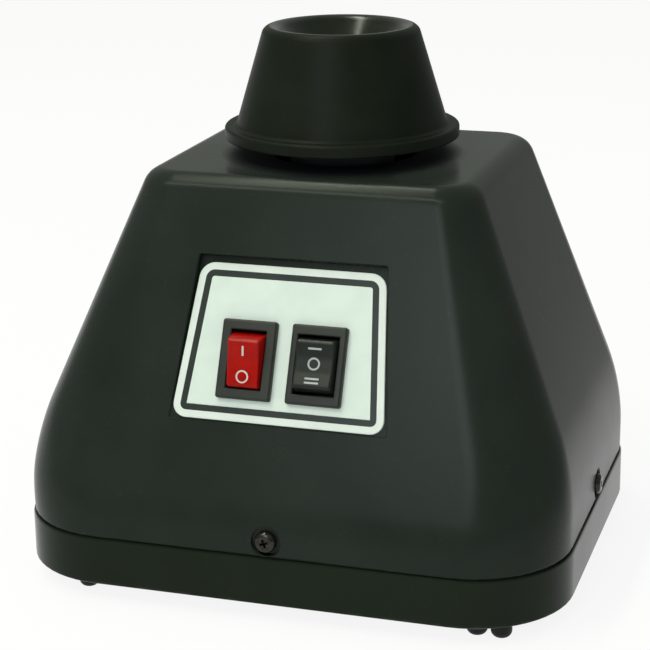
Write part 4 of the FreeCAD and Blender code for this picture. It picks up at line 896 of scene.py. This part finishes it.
def addPivot(bm, switch):
    bmesh.ops.create_cone(bm, cap_ends=True, segments=rocker["pivotSteps"], radius1=rocker["pivot"],
                          radius2=rocker["pivot"], depth=switch["open"] + 2 * rocker["pivotReach"],
                          matrix=turned(90, "Y"))


def barMark(bm, width, height, y):
    verts = bmesh.ops.create_grid(bm, x_segments=4, y_segments=6, size=0.5)["verts"]
    bmesh.ops.scale(bm, vec=(width, height, 1), verts=verts)
    bmesh.ops.translate(bm, vec=(0, y, 0), verts=verts)


def ringMark(bm, outer, inner, y):
    circles = [bmesh.ops.create_circle(bm, cap_ends=False, segments=48, radius=radius,
                                       matrix=moved(0, y))["verts"] for radius in (outer, inner)]
    bridgeAll(bm, [edgesOf(circle) for circle in circles])


def layOn(bm, surface):
    # drops each point of the marks on the rocker's face below it
    for vert in bm.verts:
        start = Vector((vert.co.x, vert.co.y, markLift["dropFrom"]))
        hit = surface.ray_cast(start, Vector((0, 0, -1)))[0]
        vert.co.z = hit.z + markLift["above"]
    for face in bm.faces:
        face.normal_update()
        if face.normal.z < 0:
            face.normal_flip()
    bmesh.ops.solidify(bm, geom=bm.faces, thickness=markLift["thick"])


def makeRocker(name, markName, switch, finish, markFinish):
    bm = rockerMesh(switch)
    surface = BVHTree.FromBMesh(bm)
    marks = bmesh.new()
    for width, height, y in switch["bars"]:
        barMark(marks, width, height, y)
    for outer, inner, y in switch["rings"]:
        ringMark(marks, outer, inner, y)
    layOn(marks, surface)
    addPivot(bm, switch)
    matrix = switch["place"] @ moved(0, 0, bezel["pivotZ"]) @ turned(switch["swing"], "X")
    place(bm, matrix)
    place(marks, matrix)
    return newObject(name, bm, finish), newObject(markName, marks, markFinish)


powerKey, powerMarks = makeRocker("powerKey", "powerMarks", powerSwitch, rockerRed, markWhite)
settle(powerKey, "power_rocker", "rocker_red", "power_rocker")
settle(powerMarks, "power_rocker", "label_face")
speedKey, speedMarks = makeRocker("speedKey", "speedMarks", speedSwitch, speedBlack, markGrey)
settle(speedKey, "speed_rocker", "switch_black", "speed_rocker")
settle(speedMarks, "speed_rocker", "label_face")


# rubber cup on the orbiting head
cup = {
    "y": 8.0, "z": 115.8, "height": 30.8, "flange": 32.7, "flangeThick": 3.4, "base": 29.5, "rim": 21.34,
    "bowl": 17.6, "bowlEnd": 3.6, "bowlFloor": 13.8, "boss": 11.0, "bossHeight": 7.5, "steps": 128,
    "bossRound": (0.4, 3), "underRound": (0.5, 4), "flangeRound": (0.8, 5), "baseRound": (0.9, 5),
    "rimRound": (1.9, 8), "mouthRound": (1.6, 8), "floorRound": (3.4, 10),
    "hollowFrom": 12.8, "outwardDip": 4.0}
bm = bmesh.new()
turnProfile(bm, [(0, cup["bossHeight"]), (cup["boss"], cup["bossHeight"], *cup["bossRound"]),
                 (cup["boss"], 0, *cup["bossRound"]), (cup["flange"], 0, *cup["underRound"]),
                 (cup["flange"], cup["flangeThick"], *cup["flangeRound"]),
                 (cup["base"], cup["flangeThick"], *cup["baseRound"]),
                 (cup["rim"], cup["height"], *cup["rimRound"]),
                 (cup["bowl"], cup["height"], *cup["mouthRound"]),
                 (cup["bowlEnd"], cup["bowlFloor"], *cup["floorRound"]),
                 (0, cup["bowlFloor"])], cup["steps"])
for face in bm.faces:
    # the hollow, whose faces look up and inwards, is rubbed smooth by the tubes
    middle = face.calc_center_median()
    outward = Vector((middle.x, middle.y, -cup["outwardDip"]))
    if middle.z > cup["hollowFrom"] and face.normal.dot(outward) < 0:
        face.material_index = 1
place(bm, moved(0, cup["y"], cup["z"]))
settle(newObject("mixingCup", bm, headRubber, bowlRubber), "head", "head_rubber", "mixing_cup")


# the works inside keep their CAD shapes and get real finishes
redrawn = {"upper_housing", "base_tray", "rubber_feet", "housing_screws", "cord_grommet", "label_plate",
           "power_switch_body", "speed_switch_body", "power_rocker", "speed_rocker", "mixing_cup"}
for name, node in cadNodes.items():
    if name not in redrawn:
        node.material_slots[0].material = slotFinish[slotOf[name]]
print("CAD nodes dressed:", len(cadNodes) - len(redrawn))


# stage, lamps and camera
tubeTint, windowTint = (0.98, 1.0, 0.86), (0.86, 0.94, 1.0)
studio = {
    "floorSize": 8000, "sweepEdge": 0.15, "sweepBack": 0.18, "sweepFront": 2.5, "sweepFade": 0.13,
    "tones": ((0.87, 0.87, 0.87), (0.88, 0.88, 0.88)), "toneSize": 60.0, "rough": 0.9, "gloss": 0.1,
    "glow": 0.88, "horizon": 0.36, "sky": 0.48, "skyRise": 0.45, "skyTint": (0.96, 1.0, 0.93, 1),
    # name, where, aim, size, power and tint
    "lamps": [
        ("leftTube", (-0.34, 0.03, 1.15), (0.0, 0.0, 0.10), (1.0, 0.09), 6.4, tubeTint),
        ("frontTube", (-0.32, -0.72, 1.01), (0.0, 0.0, 0.10), (1.0, 0.09), 5.2, tubeTint),
        ("windowBox", (-0.10, -1.16, 0.62), (0.0, 0.0, 0.06), (0.42, 0.32), 3.2, windowTint)]}
shot = {"azimuth": 17.478, "elevation": 15.996, "distance": 547.83, "aimZ": 74.59, "roll": -0.7025,
        "lens": 107.80, "sensor": 36, "shiftX": -0.0162, "shiftY": -0.0636}


def seenDirectly(tree):
    # 1 for what the camera, a reflection or glass looks at
    ray = tree.nodes.new("ShaderNodeLightPath")
    seen = combine(tree, ray.outputs["Is Camera Ray"], ray.outputs["Is Glossy Ray"], "MAXIMUM")
    return combine(tree, seen, ray.outputs["Is Transmission Ray"], "MAXIMUM")


def beyondSweep(tree, spot):
    # 0 on the white sweep, 1 in the far corner behind the right side, where the floor is as dim as the room
    swung = tree.nodes.new("ShaderNodeMapping")
    swung.inputs["Rotation"].default_value = (0, 0, -math.radians(shot["azimuth"]))
    tree.links.new(spot, swung.inputs["Vector"])
    parts = tree.nodes.new("ShaderNodeSeparateXYZ")
    tree.links.new(swung.outputs["Vector"], parts.inputs["Vector"])
    edge, reach = studio["sweepEdge"], studio["floorSize"] * mm
    behind = spread(tree, parts.outputs["Y"], 0, reach, edge, edge + reach * studio["sweepBack"])
    ahead = spread(tree, parts.outputs["Y"], -reach, 0, edge + reach * studio["sweepFront"], edge)
    past = combine(tree, parts.outputs["X"], combine(tree, behind, ahead, "MAXIMUM"), "SUBTRACT")
    return spread(tree, past, 0, studio["sweepFade"], 0, 1)


def makeFloor():
    bm = bmesh.new()
    bmesh.ops.create_grid(bm, x_segments=8, y_segments=8, size=studio["floorSize"] / 2)
    finish, tree, shader, spot = startFinish("paleFloor")
    shader.inputs["Roughness"].default_value = studio["rough"]
    shader.inputs["Specular IOR Level"].default_value = studio["gloss"]
    tone = mixColour(tree, lumps(tree, spot, studio["toneSize"], detail=3.0), *studio["tones"])
    tree.links.new(tone, shader.inputs["Base Color"])
    glow = tree.nodes.new("ShaderNodeEmission")
    dim = (studio["horizon"],) * 3
    tree.links.new(mixColour(tree, beyondSweep(tree, spot), (1.0, 1.0, 1.0), dim), glow.inputs["Color"])
    mix = tree.nodes.new("ShaderNodeMixShader")
    tree.links.new(spread(tree, seenDirectly(tree), 0, 1, 0, studio["glow"]), mix.inputs["Fac"])
    tree.links.new(shader.outputs["BSDF"], mix.inputs[1])
    tree.links.new(glow.outputs["Emission"], mix.inputs[2])
    tree.links.new(mix.outputs["Shader"], tree.nodes["Material Output"].inputs["Surface"])
    floor = newObject("studioFloor", bm, finish)


def lightStudio():
    world = bpy.data.worlds.new("studioWorld")
    scene.world = world
    world.use_nodes = True
    # a plain room that gets a little darker towards the horizon
    tree = world.node_tree
    sky = tree.nodes["Background"]
    sky.inputs["Color"].default_value = studio["skyTint"]
    parts = tree.nodes.new("ShaderNodeSeparateXYZ")
    tree.links.new(tree.nodes.new("ShaderNodeTexCoord").outputs["Object"], parts.inputs["Vector"])
    rise = spread(tree, parts.outputs["Z"], 0, studio["skyRise"], studio["horizon"], studio["sky"])
    tree.links.new(rise, sky.inputs["Strength"])
    for name, where, aim, size, power, tint in studio["lamps"]:
        lamp = bpy.data.lights.new(name, "AREA")
        lamp.shape = "RECTANGLE"
        lamp.size, lamp.size_y = size
        lamp.energy = power
        lamp.color = tint
        holder = bpy.data.objects.new(name, lamp)
        holder.location = where
        holder.rotation_euler = (Vector(aim) - Vector(where)).to_track_quat("-Z", "Y").to_euler()
        scene.collection.objects.link(holder)


def setCamera():
    camera = bpy.data.cameras.new("photoView")
    camera.lens = shot["lens"]
    camera.sensor_width = shot["sensor"]
    camera.shift_x, camera.shift_y = shot["shiftX"], shot["shiftY"]
    holder = bpy.data.objects.new("photoView", camera)
    turn, tilt = math.radians(shot["azimuth"]), math.radians(shot["elevation"])
    back = Vector((math.sin(turn) * math.cos(tilt), -math.cos(turn) * math.cos(tilt), math.sin(tilt)))
    holder.location = (Vector((0, 0, shot["aimZ"])) + back * shot["distance"]) * mm
    facing = (-back).to_track_quat("-Z", "Y").to_euler()
    facing.rotate_axis("Z", math.radians(shot["roll"]))
    holder.rotation_euler = facing
    scene.collection.objects.link(holder)
    scene.camera = holder


makeFloor()
lightStudio()
setCamera()
scene.view_settings.view_transform = "Standard"
print("stage, lamps and camera set")
